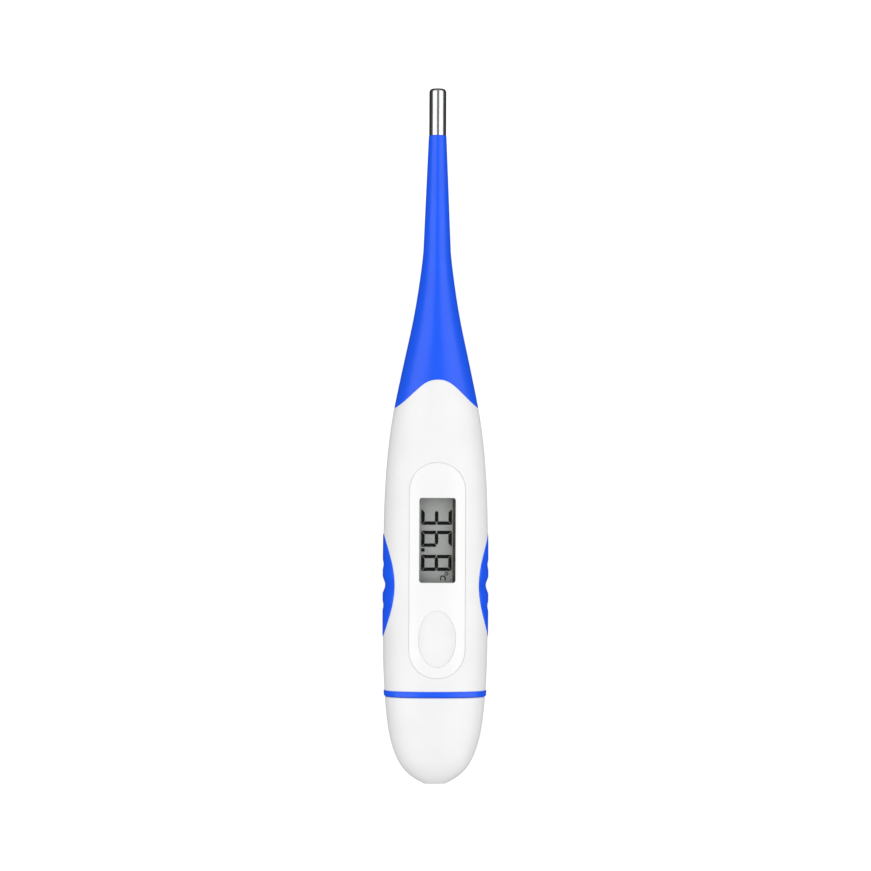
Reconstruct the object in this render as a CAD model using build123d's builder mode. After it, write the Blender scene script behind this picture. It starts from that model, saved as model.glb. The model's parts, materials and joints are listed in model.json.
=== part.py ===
"""Flexible-tip digital thermometer, lying on its back.

Frame: +Y runs from the battery cap to the sensor tip, +X to the right of the display, +Z out of the display.
The origin is below the middle of the thermometer, in the plane of the flat that it rests on. Millimetres.
"""

from build123d import *
import os
from math import cos, pi, sin

# ---------------------------------------------------------------- driving dimensions
axis_z = 5.9  # height of the long axis above the resting flat
tip_y = 69.5
tail_y = -69.5
steel_y = 60.1  # where the steel tip leaves the soft shaft
shell_end_y = -50.8  # rear edge of the two shells
cap_mouth_y = -52.0  # front edge of the battery cap

# plan outline: (position along the length, half width)
stations = (
    (-69.5, 2.10),
    (-68.7, 3.62),
    (-67.5, 5.28),
    (-65.9, 6.70),
    (-63.9, 7.78),
    (-61.0, 8.77),
    (-57.0, 9.52),
    (-52.0, 10.02),
    (-46.0, 10.35),
    (-38.0, 10.47),
    (-28.0, 10.47),
    (-18.0, 10.40),
    (-10.0, 10.14),
    (-3.0, 9.60),
    (4.0, 8.68),
    (10.0, 7.50),
    (16.0, 6.22),
    (22.0, 4.93),
    (28.0, 3.87),
    (33.0, 3.17),
    (37.0, 2.74),
    (41.0, 2.57),
)
handle_flatness = 0.592  # thickness over width in the handle
handle_squareness = 2.4  # superellipse exponent in the handle, 2 in the round shaft
round_from_y = 36.0  # the section is a circle from here to the tip
flat_until_y = -5.0  # the section keeps the handle's proportions up to here
section_points = 16
station_room = 0.6  # stations nearer than this to the end of a loft are left out of it
beyond = 100  # further than anything on the thermometer, for cutting with

wall = 1.5
fit_gap = 0.05  # between pieces that are fitted together
slide_gap = 0.10  # between pieces that slide

# stretches of the outer shape that single pieces are cut from, rear and front
hollow_rear_y = tail_y + 2
panel_stretch = (-55, 5)
grip_stretch = (-45, -15)
rear_stretch = (hollow_rear_y, -40)

# joint between the two shells
rebate_depth = 0.65
rebate_height = 1.1
tongue_height = 1.0
tongue_front_y = 4.5

# front panel with its window and button
panel_width = 11.3
panel_length = 43.0
panel_y = -26.7
panel_proud = 0.15
panel_depth = 0.75
window_width = 7.2
window_length = 16.8
window_corner = 0.5
window_y = -20.7
window_top_z = 11.85
window_flange_z = 10.0
window_flange_thickness = 0.4
window_flange_lip = 0.7
button_y = -40.3
button_radii = (3.72, 5.65)
button_gap = 0.12
button_side_z = 12.0
button_dome = ((0, 0, 0), (0.3, 0.35, 0.4), (0.5, 1.1, 1.3), (0.6, 2.2, 2.9))  # height, insets in X and Y
button_flange_z = 10.1
button_flange_lip = 0.6
button_flange_thickness = 0.5
button_travel = 0.4

# side grips
grip_y = -29.8
grip_radii = (10.3, 4.3)
grip_proud = 0.1
grip_depth = 1.0
grip_groove_pitch = 4.1
grip_grooves = ((-1, 2.2, 0.17), (0, 2.6, 0.5), (1, 2.2, 0.17))  # place in pitches, radius, depth

# seam between the white shells and the soft blue nose, right half of its arch in plan
seam_arch = ((0.0, 11.2), (2.4, 10.6), (4.25, 9.15), (7.1, 6.5), (9.6, 4.75))

# soft shaft and its four bends
shaft_base = (37.0, 2.74)  # where the straight taper starts: position, radius
shaft_end_radius = 1.76
shaft_bends = ((36.5, 0.85), (41.75, 0.75), (47.0, 0.75), (52.25, 0.65))  # pivot, gap
wire_bore_radius = 0.75
core_front_y = 26.0
core_rear_y = -3.0
core_bore_radius = 1.2

# sensor
steel_radius = 1.7
steel_wall = 0.25
steel_neck_radius = 1.25
steel_neck_y = 56.6
steel_nose_radius = 0.75
bead_radius = 0.5
bead_y = 68.4
potting_y = 65.0
wire_radius = 0.15
wire_spread = 0.35
wire_gap = 0.3
wire_in_bead = 0.3  # the wires end this far behind the middle of the bead

# circuit board and what it carries
board_width = 13.6
board_rear_y = -47.5
board_front_y = -7.0
board_bottom_z = 4.6
board_top_z = 5.4
board_corner = 1.0
stake_places = ((4.9, -8.9), (-4.9, -8.9), (5.4, -33.6), (-5.4, -33.6))
stake_post_radius = 1.0
stake_pin_radius = 0.5
stake_head_radius = 0.85
stake_head_height = 0.35
stake_foot_z = 0.6
solder_y = -8.0
switch_size = 6.0
switch_corner = 0.4
switch_top_z = 8.5
switch_well_z = 7.3
plunger_radius = 1.5
plunger_bottom_z = 7.9
plunger_top_z = 9.1
plunger_gap = 0.05
plunger_chamfer = 0.2
chip_size = (1.0, 0.5, 0.45)
chip_places = (
    (2.5, -33.0),
    (0.0, -33.6),
    (-2.5, -33.0),
    (5.2, -40.0),
    (-5.2, -41.0),
    (3.4, -45.2),
    (-3.4, -45.2),
)
potting_radius = 3.2
potting_height = 1.3
potting_blob_y = -22.0

# beeper
buzzer_y = -24.0
buzzer_radius = 4.5
ceramic_radius = 3.1
buzzer_plate_thickness = 0.2
ceramic_thickness = 0.15
buzzer_rest_foot_z = 1.0
buzzer_rest_z = 1.6
buzzer_rest_width = 1.0

# display stack, from the front down
lcd_width = 10.4
lcd_length = 19.8
lcd_top_z = 9.55
polariser_thickness = 0.15
glass_thickness = 0.525
cell_gap = 0.05
lcd_ledge = 1.4  # the rear glass is this much narrower, for the contacts
lcd_seal_width = 0.6
lcd_frame_wall = 0.65
lcd_frame_top_z = 9.3
lcd_frame_corner = 0.4
lcd_rib_width = 1.0
lcd_rib_height = 1.2
zebra_width = 1.1
zebra_length = 18.6
digit_height = 6.1
digit_width = 3.2
stroke = 0.68
stroke_gap = 0.06
digits = ((-6.22, "abcdg"), (-1.83, "acdefg"), (2.97, "abcdefg"))  # left edge, segments
digit_middle = -0.01
point_place = 2.0
degree_place = (6.72, 2.0)
degree_radii = (0.38, 0.2)
letter_place = (7.66, 1.29)
letter_radii = (0.6, 0.37)
letter_mouth = 0.35

# collar, drawer, cell and contacts at the rear
collar_front_y = -46.8
collar_rear_y = -56.5
collar_wall = 1.0
guide_gap = 0.35
guide_height = 0.9
cap_wall = 1.3
seal_proud = 0.18
seal_gap = 0.1
cell_radius = 3.95
cell_height = 3.6
cell_rim = 0.75
cell_edge = 0.25
cell_lid_height = 0.3
cell_y = -57.6
cell_bottom_z = 4.0
drawer_front_y = -48.4
drawer_floor = 0.5
drawer_wall = 0.65
drawer_half_width = 4.75
drawer_top_z = 6.6
rail_half_width = 6.2
rail_z = (4.5, 5.2)
rail_rear_y = -56.2
contact_thickness = 0.2
contact_width = 2.4
contact_pad_front_y = -45.8
contact_riser_y = -47.6
contact_reach_y = -55.6
contact_slot = 0.4
contact_gap = 0.03
stop_x = 2.85
stop_size = (2.1, 0.6)
stop_gap = 0.45
stop_height = 1.2
lip_size = (4.6, 1.6)
lip_corner = 0.4


# ---------------------------------------------------------------- shared shapes
def half_width(y):
    """Half width of the plan outline at y, on a smooth cubic through the stations."""
    ys = [s[0] for s in stations]
    ws = [s[1] for s in stations]
    slopes = [(b - a) / (d - c) for a, b, c, d in zip(ws, ws[1:], ys, ys[1:])]
    tangents = [slopes[0]] + [(a + b) / 2 for a, b in zip(slopes, slopes[1:])] + [slopes[-1]]
    i = max(k for k in range(len(ys) - 1) if ys[k] <= y)
    h = ys[i + 1] - ys[i]
    t = (y - ys[i]) / h
    near = ws[i] * (2 * t**3 - 3 * t**2 + 1) + tangents[i] * h * (t**3 - 2 * t**2 + t)
    far = ws[i + 1] * (3 * t**2 - 2 * t**3) + tangents[i + 1] * h * (t**3 - t**2)
    return near + far


def roundness(y):
    """0 in the handle and 1 in the round shaft, with a smooth change between them."""
    t = min(1.0, max(0.0, (y - flat_until_y) / (round_from_y - flat_until_y)))
    return t * t * (3 - 2 * t)


def outline_points(y, grow):
    """Points of the cross-section at y, a superellipse, with its walls moved out by grow."""
    w = half_width(y)
    flatness = handle_flatness + (1 - handle_flatness) * roundness(y)
    power = 2 / (handle_squareness + (2 - handle_squareness) * roundness(y))
    points = []
    for k in range(section_points):
        c = cos(2 * pi * k / section_points)
        s = sin(2 * pi * k / section_points)
        x = (w + grow) * abs(c) ** power * (1 if c > 0 else -1)
        z = (w * flatness + grow) * abs(s) ** power * (1 if s > 0 else -1)
        points.append((x, z))
    return points


def cross_plane(y):
    """A plane across the long axis at y, with its x along X and its y along Z."""
    return Plane(origin=(0, y, axis_z), x_dir=(1, 0, 0), z_dir=(0, -1, 0))


def body_blank(grow, rear_y=tail_y, front_y=stations[-1][0]):
    """Solid of the whole outer shape between two places, with its surface moved out by grow."""
    inner = [s[0] for s in stations if rear_y + station_room < s[0] < front_y - station_room]
    with BuildPart() as blank:
        for y in [rear_y, *inner, front_y]:
            with BuildSketch(cross_plane(y)):
                with BuildLine():
                    Spline(*outline_points(y, grow), periodic=True)
                make_face()
        loft()
    return blank.part


def slab(x0, x1, y0, y1, z0, z1):
    """A box between two corners, kept out of any builder."""
    centre = ((x0 + x1) / 2, (y0 + y1) / 2, (z0 + z1) / 2)
    return Location(centre) * Box(x1 - x0, y1 - y0, z1 - z0, mode=Mode.PRIVATE)


def plan_prism(rear_y):
    """Upright prism in plan, from rear_y forwards to the seam arch."""
    left = [(-x, y) for x, y in reversed(seam_arch[1:])]
    with BuildPart() as prism:
        with BuildSketch():
            with BuildLine():
                arch = Spline(*left, *seam_arch)
                start = arch @ 0
                finish = arch @ 1
                right = ((beyond, finish.Y), (beyond, rear_y))
                back_left = ((-beyond, rear_y), (-beyond, start.Y))
                Polyline(finish, *right, *back_left, start)
            make_face()
        extrude(amount=beyond, both=True)
    return prism.part


def shaft_radius(y):
    """Radius of the straight taper of the soft shaft."""
    base_y, base_radius = shaft_base
    return base_radius + (y - base_y) * (shaft_end_radius - base_radius) / (steel_y - base_y)


def ring_zone(rear_y, front_y):
    """A wide slab across the whole thermometer between two places along it."""
    return slab(-beyond, beyond, rear_y, front_y, -beyond, beyond)


def segment_points(segment):
    """Corner points of one stroke of a seven-stroke digit, about the digit's middle."""
    w = digit_width / 2
    h = digit_height / 2
    level = [
        (stroke_gap - w, h),
        (w - stroke_gap, h),
        (w - stroke - stroke_gap, h - stroke),
        (stroke + stroke_gap - w, h - stroke),
    ]
    upright = [
        (w, h - stroke_gap),
        (w - stroke, h - stroke - stroke_gap),
        (w - stroke, stroke / 2 + stroke_gap),
        (w - stroke / 2, stroke_gap),
        (w, 3 * stroke_gap),
    ]
    middle = [
        (w - stroke / 2 - stroke_gap, 0),
        (w - stroke - stroke_gap, stroke / 2),
        (stroke + stroke_gap - w, stroke / 2),
        (stroke / 2 + stroke_gap - w, 0),
        (stroke + stroke_gap - w, -stroke / 2),
        (w - stroke - stroke_gap, -stroke / 2),
    ]
    points, turn_x, turn_y = {
        "a": (level, 1, 1),
        "b": (upright, 1, 1),
        "c": (upright, 1, -1),
        "d": (level, 1, -1),
        "e": (upright, -1, -1),
        "f": (upright, -1, 1),
        "g": (middle, 1, 1),
    }[segment]
    return [(turn_x * x, turn_y * y) for x, y in points]


def drawer_outline(half):
    """Plan of the drawer for one half width: straight sides, and round behind the cell."""
    with Locations((0, (drawer_front_y + cell_y) / 2)):
        Rectangle(2 * half, drawer_front_y - cell_y)
    with Locations((0, cell_y)):
        Circle(half)


def write(piece, name):
    """Labels a finished sub-part and writes its STEP file."""
    piece.part.label = name
    export_step(piece.part, f"parts/{name}.step")


os.makedirs("parts", exist_ok=True)
whole = body_blank(0)
cavity = body_blank(-wall, hollow_rear_y)
inner_blank = body_blank(-wall - fit_gap, hollow_rear_y)
white_zone = plan_prism(shell_end_y)
grip_bed = body_blank(-grip_depth, *grip_stretch)
above_rest = slab(-beyond, beyond, -beyond, beyond, 0, beyond)
display_plane = Plane(origin=(0, window_y, 0), x_dir=(0, -1, 0), z_dir=(0, 0, 1))

with BuildPart() as window_hole:
    with BuildSketch(Plane.XY.offset(window_flange_z)):
        with Locations((0, window_y)):
            RectangleRounded(window_width, window_length, window_corner)
        offset(amount=fit_gap)
    extrude(amount=beyond)

with BuildPart() as button_hole:
    with BuildSketch(Plane.XY.offset(button_flange_z)):
        with Locations((0, button_y)):
            Ellipse(button_radii[0] + button_gap, button_radii[1] + button_gap)
    extrude(amount=beyond)

with BuildPart() as panel_zone:
    with BuildSketch(Plane.XY.offset(axis_z)):
        with Locations((0, panel_y)):
            SlotOverall(panel_length, panel_width, rotation=90)
    extrude(amount=beyond)

with BuildPart() as grip_zone:
    with BuildSketch(Plane.YZ.offset(panel_width / 2)):
        with Locations((grip_y, axis_z)):
            Ellipse(*grip_radii)
    extrude(amount=beyond)
    mirror(about=Plane.YZ)

# ---------------------------------------------------------------- shells
with BuildPart() as front_shell:
    add(whole)
    add(white_zone, mode=Mode.INTERSECT)
    add(cavity, mode=Mode.SUBTRACT)
    split(bisect_by=Plane.XY.offset(axis_z), keep=Keep.TOP)
    # rebate for the rear shell's tongue
    rebate = slab(-beyond, beyond, -beyond, beyond, axis_z - rebate_height, axis_z + rebate_height)
    add(body_blank(-rebate_depth, hollow_rear_y) & rebate, mode=Mode.SUBTRACT)
    # seat for the front panel, then the openings of the window and the button
    add(panel_zone.part - body_blank(-panel_depth, *panel_stretch), mode=Mode.SUBTRACT)
    add(window_hole.part, mode=Mode.SUBTRACT)
    add(button_hole.part, mode=Mode.SUBTRACT)
    # pockets for the side grips
    add(grip_zone.part - grip_bed, mode=Mode.SUBTRACT)
write(front_shell, "front_shell")

with BuildPart() as back_shell:
    add(whole)
    add(white_zone, mode=Mode.INTERSECT)
    add(cavity, mode=Mode.SUBTRACT)
    add(above_rest, mode=Mode.INTERSECT)
    split(bisect_by=Plane.XY.offset(axis_z), keep=Keep.BOTTOM)
    # tongue along the joint
    tongue_zone = slab(-beyond, beyond, shell_end_y, tongue_front_y, axis_z, axis_z + tongue_height)
    add((body_blank(-rebate_depth - fit_gap, hollow_rear_y) - cavity) & tongue_zone)
    # posts that carry the board, staked over above it
    stake_top_z = board_top_z + stake_head_height
    for radius, low_z, high_z in (
        (stake_post_radius, stake_foot_z, board_bottom_z),
        (stake_pin_radius, board_bottom_z, stake_top_z),
        (stake_head_radius, board_top_z, stake_top_z),
    ):
        with BuildSketch(Plane.XY.offset(low_z)):
            with Locations(*stake_places):
                Circle(radius)
        extrude(amount=high_z - low_z)
    # raised ring that the beeper lies on
    with BuildSketch(Plane.XY.offset(buzzer_rest_foot_z)):
        with Locations((0, buzzer_y)):
            Circle(buzzer_radius)
            Circle(buzzer_radius - buzzer_rest_width, mode=Mode.SUBTRACT)
    extrude(amount=buzzer_rest_z - buzzer_rest_foot_z)
    add(grip_zone.part - grip_bed, mode=Mode.SUBTRACT)
write(back_shell, "back_shell")

with BuildPart() as front_panel:
    add(body_blank(panel_proud, *panel_stretch) - body_blank(-panel_depth + fit_gap, *panel_stretch))
    with BuildSketch(Plane.XY.offset(axis_z)):
        with Locations((0, panel_y)):
            SlotOverall(panel_length - 2 * fit_gap, panel_width - 2 * fit_gap, rotation=90)
    extrude(amount=beyond, mode=Mode.INTERSECT)
    add(window_hole.part, mode=Mode.SUBTRACT)
    add(button_hole.part, mode=Mode.SUBTRACT)
write(front_panel, "front_panel")

for side, name in ((-1, "side_grip_left"), (1, "side_grip_right")):
    with BuildPart() as side_grip:
        add(body_blank(grip_proud, *grip_stretch) - grip_bed)
        left_x, right_x = sorted((0, side * beyond))
        add(grip_zone.part & slab(left_x, right_x, -beyond, beyond, 0, beyond), mode=Mode.INTERSECT)
        # scallops for the fingertips
        for place, radius, depth in grip_grooves:
            groove_x = half_width(grip_y) + grip_proud + radius - depth
            with BuildSketch(Plane.XY):
                with Locations((side * groove_x, grip_y + place * grip_groove_pitch)):
                    Circle(radius)
            extrude(amount=beyond, mode=Mode.SUBTRACT)
    write(side_grip, name)

# ---------------------------------------------------------------- soft nose and shaft
with BuildPart() as shaft_flare:
    first_pivot, first_gap = shaft_bends[0]
    add(whole & ring_zone(core_rear_y, first_pivot - first_gap / 2))
    add(white_zone, mode=Mode.SUBTRACT)
    add(cavity & ring_zone(core_rear_y, core_front_y), mode=Mode.SUBTRACT)
    with BuildSketch(cross_plane(core_rear_y)):
        Circle(wire_bore_radius)
    extrude(amount=-beyond, mode=Mode.SUBTRACT)
write(shaft_flare, "shaft_flare")

with BuildPart() as nose_core:
    add(inner_blank & ring_zone(core_rear_y, core_front_y - fit_gap))
    with BuildSketch(cross_plane(core_rear_y)):
        Circle(core_bore_radius)
    extrude(amount=-beyond, mode=Mode.SUBTRACT)
write(nose_core, "nose_core")

shaft_ends = [*shaft_bends, (steel_y, 0)]
shaft_names = ("shaft_segment_1", "shaft_segment_2", "shaft_segment_3", "shaft_tip_sleeve")
for (near_y, near_gap), (far_y, far_gap), name in zip(shaft_ends, shaft_ends[1:], shaft_names):
    with BuildPart() as shaft_piece:
        for end_y in (near_y + near_gap / 2, far_y - far_gap / 2):
            with BuildSketch(cross_plane(end_y)):
                Circle(shaft_radius(end_y))
        loft()
        with BuildSketch(cross_plane(near_y)):
            Circle(wire_bore_radius)
        extrude(amount=near_y - far_y, mode=Mode.SUBTRACT)
        if far_y == steel_y:
            with BuildSketch(cross_plane(steel_neck_y)):
                Circle(steel_neck_radius)
            extrude(amount=steel_neck_y - steel_y, mode=Mode.SUBTRACT)
    write(shaft_piece, name)

# ---------------------------------------------------------------- sensor
with BuildPart() as sensor_cap:
    with BuildSketch(cross_plane(steel_y)):
        Circle(steel_radius)
    extrude(amount=steel_y - tip_y)
    fillet(sensor_cap.faces().sort_by(Axis.Y)[-1].edges(), steel_nose_radius)
    # neck that is moulded into the sleeve
    with BuildSketch(cross_plane(steel_neck_y)):
        Circle(steel_neck_radius)
    extrude(amount=steel_neck_y - steel_y)
    offset(amount=-steel_wall, openings=sensor_cap.faces().sort_by(Axis.Y)[0])
write(sensor_cap, "sensor_cap")

with BuildPart() as thermistor_bead:
    with Locations((0, bead_y, axis_z)):
        Sphere(bead_radius)
write(thermistor_bead, "thermistor_bead")

wire_ends = [solder_y, *(pivot for pivot, gap in shaft_bends), bead_y - wire_in_bead]
wire_names = ("sensor_leads_handle", *(f"sensor_leads_{k + 1}" for k in range(len(shaft_bends))))
for near_y, far_y, name in zip(wire_ends, wire_ends[1:], wire_names):
    with BuildPart() as sensor_leads:
        start_y = near_y if near_y == solder_y else near_y + wire_gap / 2
        end_y = far_y if far_y == wire_ends[-1] else far_y - wire_gap / 2
        with BuildSketch(cross_plane(start_y)):
            with GridLocations(2 * wire_spread, 1, 2, 1):
                Circle(wire_radius)
        extrude(amount=start_y - end_y)
        if near_y == solder_y:
            # the ends that are soldered to the board
            with BuildSketch(Plane.XY.offset(board_top_z)):
                with Locations((0, solder_y + wire_radius)):
                    with GridLocations(2 * wire_spread, 1, 2, 1):
                        Circle(wire_radius)
            extrude(amount=axis_z - board_top_z)
        else:
            add(thermistor_bead.part, mode=Mode.SUBTRACT)
    write(sensor_leads, name)

with BuildPart() as sensor_potting:
    with BuildSketch(cross_plane(potting_y)):
        Circle(steel_radius - steel_wall)
    extrude(amount=potting_y - (tip_y - steel_nose_radius))
    add(thermistor_bead.part, mode=Mode.SUBTRACT)
    with BuildSketch(cross_plane(potting_y)):
        with GridLocations(2 * wire_spread, 1, 2, 1):
            Circle(wire_radius)
    extrude(amount=potting_y - wire_ends[-1], mode=Mode.SUBTRACT)
write(sensor_potting, "sensor_potting")

# ---------------------------------------------------------------- window and button
with BuildPart() as display_window:
    with BuildSketch(Plane.XY.offset(window_flange_z)):
        with Locations((0, window_y)):
            RectangleRounded(window_width, window_length, window_corner)
    extrude(amount=window_top_z - window_flange_z)
    with BuildSketch(Plane.XY.offset(window_flange_z - window_flange_thickness)):
        with Locations((0, window_y)):
            RectangleRounded(window_width, window_length, window_corner)
        offset(amount=window_flange_lip)
    extrude(amount=window_flange_thickness)
write(display_window, "display_window")

with BuildPart() as window_seal:
    with BuildSketch(Plane.XY.offset(window_flange_z)):
        with Locations((0, window_y)):
            RectangleRounded(window_width, window_length, window_corner)
        offset(amount=window_flange_lip)
        with Locations((0, window_y)):
            hole_size = (window_width + 2 * fit_gap, window_length + 2 * fit_gap)
            RectangleRounded(*hole_size, window_corner, mode=Mode.SUBTRACT)
    extrude(amount=beyond)
    add(inner_blank, mode=Mode.INTERSECT)
write(window_seal, "window_seal")

with BuildPart() as power_button:
    with BuildSketch(Plane.XY.offset(button_flange_z)):
        with Locations((0, button_y)):
            Ellipse(*button_radii)
    extrude(amount=button_side_z - button_flange_z)
    # domed top
    for height, inset_x, inset_y in button_dome:
        with BuildSketch(Plane.XY.offset(button_side_z + height)):
            with Locations((0, button_y)):
                Ellipse(button_radii[0] - inset_x, button_radii[1] - inset_y)
    loft()
    # flange that keeps it in, and the post that presses the switch
    with BuildSketch(Plane.XY.offset(button_flange_z - button_flange_thickness)):
        with Locations((0, button_y)):
            Ellipse(button_radii[0] + button_flange_lip, button_radii[1] + button_flange_lip)
    extrude(amount=button_flange_thickness)
    with BuildSketch(Plane.XY.offset(plunger_top_z + plunger_gap)):
        with Locations((0, button_y)):
            Circle(plunger_radius)
    extrude(amount=button_flange_z - plunger_top_z - plunger_gap)
write(power_button, "power_button")

with BuildPart() as switch_base:
    with BuildSketch(Plane.XY.offset(board_top_z)):
        with Locations((0, button_y)):
            RectangleRounded(switch_size, switch_size, switch_corner)
    extrude(amount=switch_top_z - board_top_z)
    with Locations((0, button_y, switch_top_z)):
        Hole(radius=plunger_radius + slide_gap, depth=switch_top_z - switch_well_z)
write(switch_base, "switch_base")

with BuildPart() as switch_plunger:
    with BuildSketch(Plane.XY.offset(plunger_bottom_z)):
        with Locations((0, button_y)):
            Circle(plunger_radius)
    extrude(amount=plunger_top_z - plunger_bottom_z)
    chamfer(switch_plunger.faces().sort_by(Axis.Z)[-1].edges(), length=plunger_chamfer)
write(switch_plunger, "switch_plunger")

# ---------------------------------------------------------------- board
with BuildPart() as circuit_board:
    with BuildSketch(Plane.XY.offset(board_bottom_z)):
        with Locations((0, (board_front_y + board_rear_y) / 2)):
            RectangleRounded(board_width, board_front_y - board_rear_y, board_corner)
        with Locations(*stake_places):
            Circle(stake_pin_radius + fit_gap, mode=Mode.SUBTRACT)
    extrude(amount=board_top_z - board_bottom_z)
write(circuit_board, "circuit_board")

with BuildPart() as chip_components:
    with Locations(*((x, y, board_top_z) for x, y in chip_places)):
        Box(*chip_size, align=(Align.CENTER, Align.CENTER, Align.MIN))
write(chip_components, "chip_components")

with BuildPart() as controller_potting:
    blob_radius = (potting_radius**2 + potting_height**2) / (2 * potting_height)
    with Locations((0, potting_blob_y, board_top_z + potting_height - blob_radius)):
        Sphere(blob_radius)
    split(bisect_by=Plane.XY.offset(board_top_z), keep=Keep.TOP)
write(controller_potting, "controller_potting")

# ---------------------------------------------------------------- beeper
with BuildPart() as buzzer_plate:
    with BuildSketch(Plane.XY.offset(buzzer_rest_z)):
        with Locations((0, buzzer_y)):
            Circle(buzzer_radius)
    extrude(amount=buzzer_plate_thickness)
write(buzzer_plate, "buzzer_plate")

with BuildPart() as buzzer_ceramic:
    with BuildSketch(Plane.XY.offset(buzzer_rest_z + buzzer_plate_thickness)):
        with Locations((0, buzzer_y)):
            Circle(ceramic_radius)
    extrude(amount=ceramic_thickness)
write(buzzer_ceramic, "buzzer_ceramic")

with BuildPart() as buzzer_leads:
    plate_z = buzzer_rest_z + buzzer_plate_thickness
    for place_x, low_z in ((0, plate_z + ceramic_thickness), ((buzzer_radius + ceramic_radius) / 2, plate_z)):
        with BuildSketch(Plane.XY.offset(low_z)):
            with Locations((place_x, buzzer_y)):
                Circle(wire_radius)
        extrude(amount=board_bottom_z - low_z)
write(buzzer_leads, "buzzer_leads")

# ---------------------------------------------------------------- display
front_glass_z = lcd_top_z - polariser_thickness - glass_thickness
rear_glass_z = front_glass_z - cell_gap - glass_thickness
reflector_z = rear_glass_z - polariser_thickness
rear_width = lcd_width - lcd_ledge
for name, width, low_z, thickness in (
    ("lcd_front_polariser", lcd_width, front_glass_z + glass_thickness, polariser_thickness),
    ("lcd_front_glass", lcd_width, front_glass_z, glass_thickness),
    ("lcd_rear_glass", rear_width, rear_glass_z, glass_thickness),
    ("lcd_rear_reflector", rear_width, reflector_z, polariser_thickness),
):
    with BuildPart() as layer:
        with BuildSketch(Plane.XY.offset(low_z)):
            with Locations(((width - lcd_width) / 2, window_y)):
                Rectangle(width, lcd_length)
        extrude(amount=thickness)
    write(layer, name)

with BuildPart() as lcd_seal:
    with BuildSketch(Plane.XY.offset(front_glass_z - cell_gap)):
        with Locations((-lcd_ledge / 2, window_y)):
            Rectangle(rear_width, lcd_length)
            inner_size = (rear_width - 2 * lcd_seal_width, lcd_length - 2 * lcd_seal_width)
            Rectangle(*inner_size, mode=Mode.SUBTRACT)
    extrude(amount=cell_gap)
write(lcd_seal, "lcd_seal")

with BuildPart() as lcd_digits:
    with BuildSketch(display_plane.offset(front_glass_z - cell_gap)):
        for left, lit in digits:
            with Locations((left + digit_width / 2, digit_middle)):
                for segment in lit:
                    Polygon(*segment_points(segment))
        with Locations((point_place, digit_middle - digit_height / 2 + stroke / 2)):
            Rectangle(stroke, stroke)
        with Locations(degree_place):
            Circle(degree_radii[0])
            Circle(degree_radii[1], mode=Mode.SUBTRACT)
        with Locations(letter_place):
            Circle(letter_radii[0])
            Circle(letter_radii[1], mode=Mode.SUBTRACT)
            with Locations((letter_radii[0], 0)):
                Rectangle(2 * letter_mouth, 2 * letter_radii[1], mode=Mode.SUBTRACT)
    extrude(amount=cell_gap)
write(lcd_digits, "lcd_digits")

with BuildPart() as lcd_frame:
    with BuildSketch(Plane.XY.offset(board_top_z)):
        with Locations((0, window_y)):
            outer_size = (lcd_width + 2 * lcd_frame_wall, lcd_length + 2 * lcd_frame_wall)
            RectangleRounded(*outer_size, lcd_frame_corner)
            Rectangle(lcd_width + 2 * fit_gap, lcd_length + 2 * fit_gap, mode=Mode.SUBTRACT)
    extrude(amount=lcd_frame_top_z - board_top_z)
    # two ribs that the glass rests on
    left_rib_x = (lcd_rib_width - lcd_width) / 2
    right_rib_x = -left_rib_x - lcd_ledge
    with BuildSketch(Plane.XY.offset(reflector_z - lcd_rib_height)):
        with Locations((left_rib_x, window_y), (right_rib_x, window_y)):
            Rectangle(lcd_rib_width, lcd_length + lcd_frame_wall)
    extrude(amount=lcd_rib_height)
write(lcd_frame, "lcd_frame")

with BuildPart() as zebra_connector:
    with BuildSketch(Plane.XY.offset(board_top_z)):
        with Locations((lcd_width / 2 - lcd_ledge / 2 + fit_gap, window_y)):
            Rectangle(zebra_width, zebra_length)
    extrude(amount=front_glass_z - board_top_z)
write(zebra_connector, "zebra_connector")

# ---------------------------------------------------------------- rear end
spigot_outer = body_blank(-cap_wall - slide_gap, *rear_stretch)
spigot_inner = body_blank(-cap_wall - slide_gap - collar_wall, *rear_stretch)
guide_edge_x = drawer_half_width + guide_gap
guide_levels = ((0, rail_z[0] - slide_gap), (rail_z[1] + slide_gap, rail_z[1] + guide_height))
guides = [
    slab(left_x, right_x, collar_rear_y, drawer_front_y, low_z, high_z)
    for left_x, right_x in ((guide_edge_x, beyond), (-beyond, -guide_edge_x))
    for low_z, high_z in guide_levels
]
with BuildPart() as rear_collar:
    add(spigot_outer & ring_zone(collar_rear_y, shell_end_y))
    add(inner_blank & ring_zone(shell_end_y, collar_front_y))
    # hollow, with guides left over and under the drawer's rails
    add(spigot_inner - guides, mode=Mode.SUBTRACT)
write(rear_collar, "rear_collar")

with BuildPart() as seal_ring:
    add(body_blank(seal_proud, *rear_stretch) & ring_zone(cap_mouth_y + seal_gap, shell_end_y))
    add(spigot_outer, mode=Mode.SUBTRACT)
    add(above_rest, mode=Mode.INTERSECT)
write(seal_ring, "seal_ring")

with BuildPart() as battery_cap:
    add(whole & ring_zone(-beyond, cap_mouth_y))
    add(body_blank(-cap_wall, tail_y + cap_wall, rear_stretch[1]), mode=Mode.SUBTRACT)
    add(above_rest, mode=Mode.INTERSECT)
write(battery_cap, "battery_cap")

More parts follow.
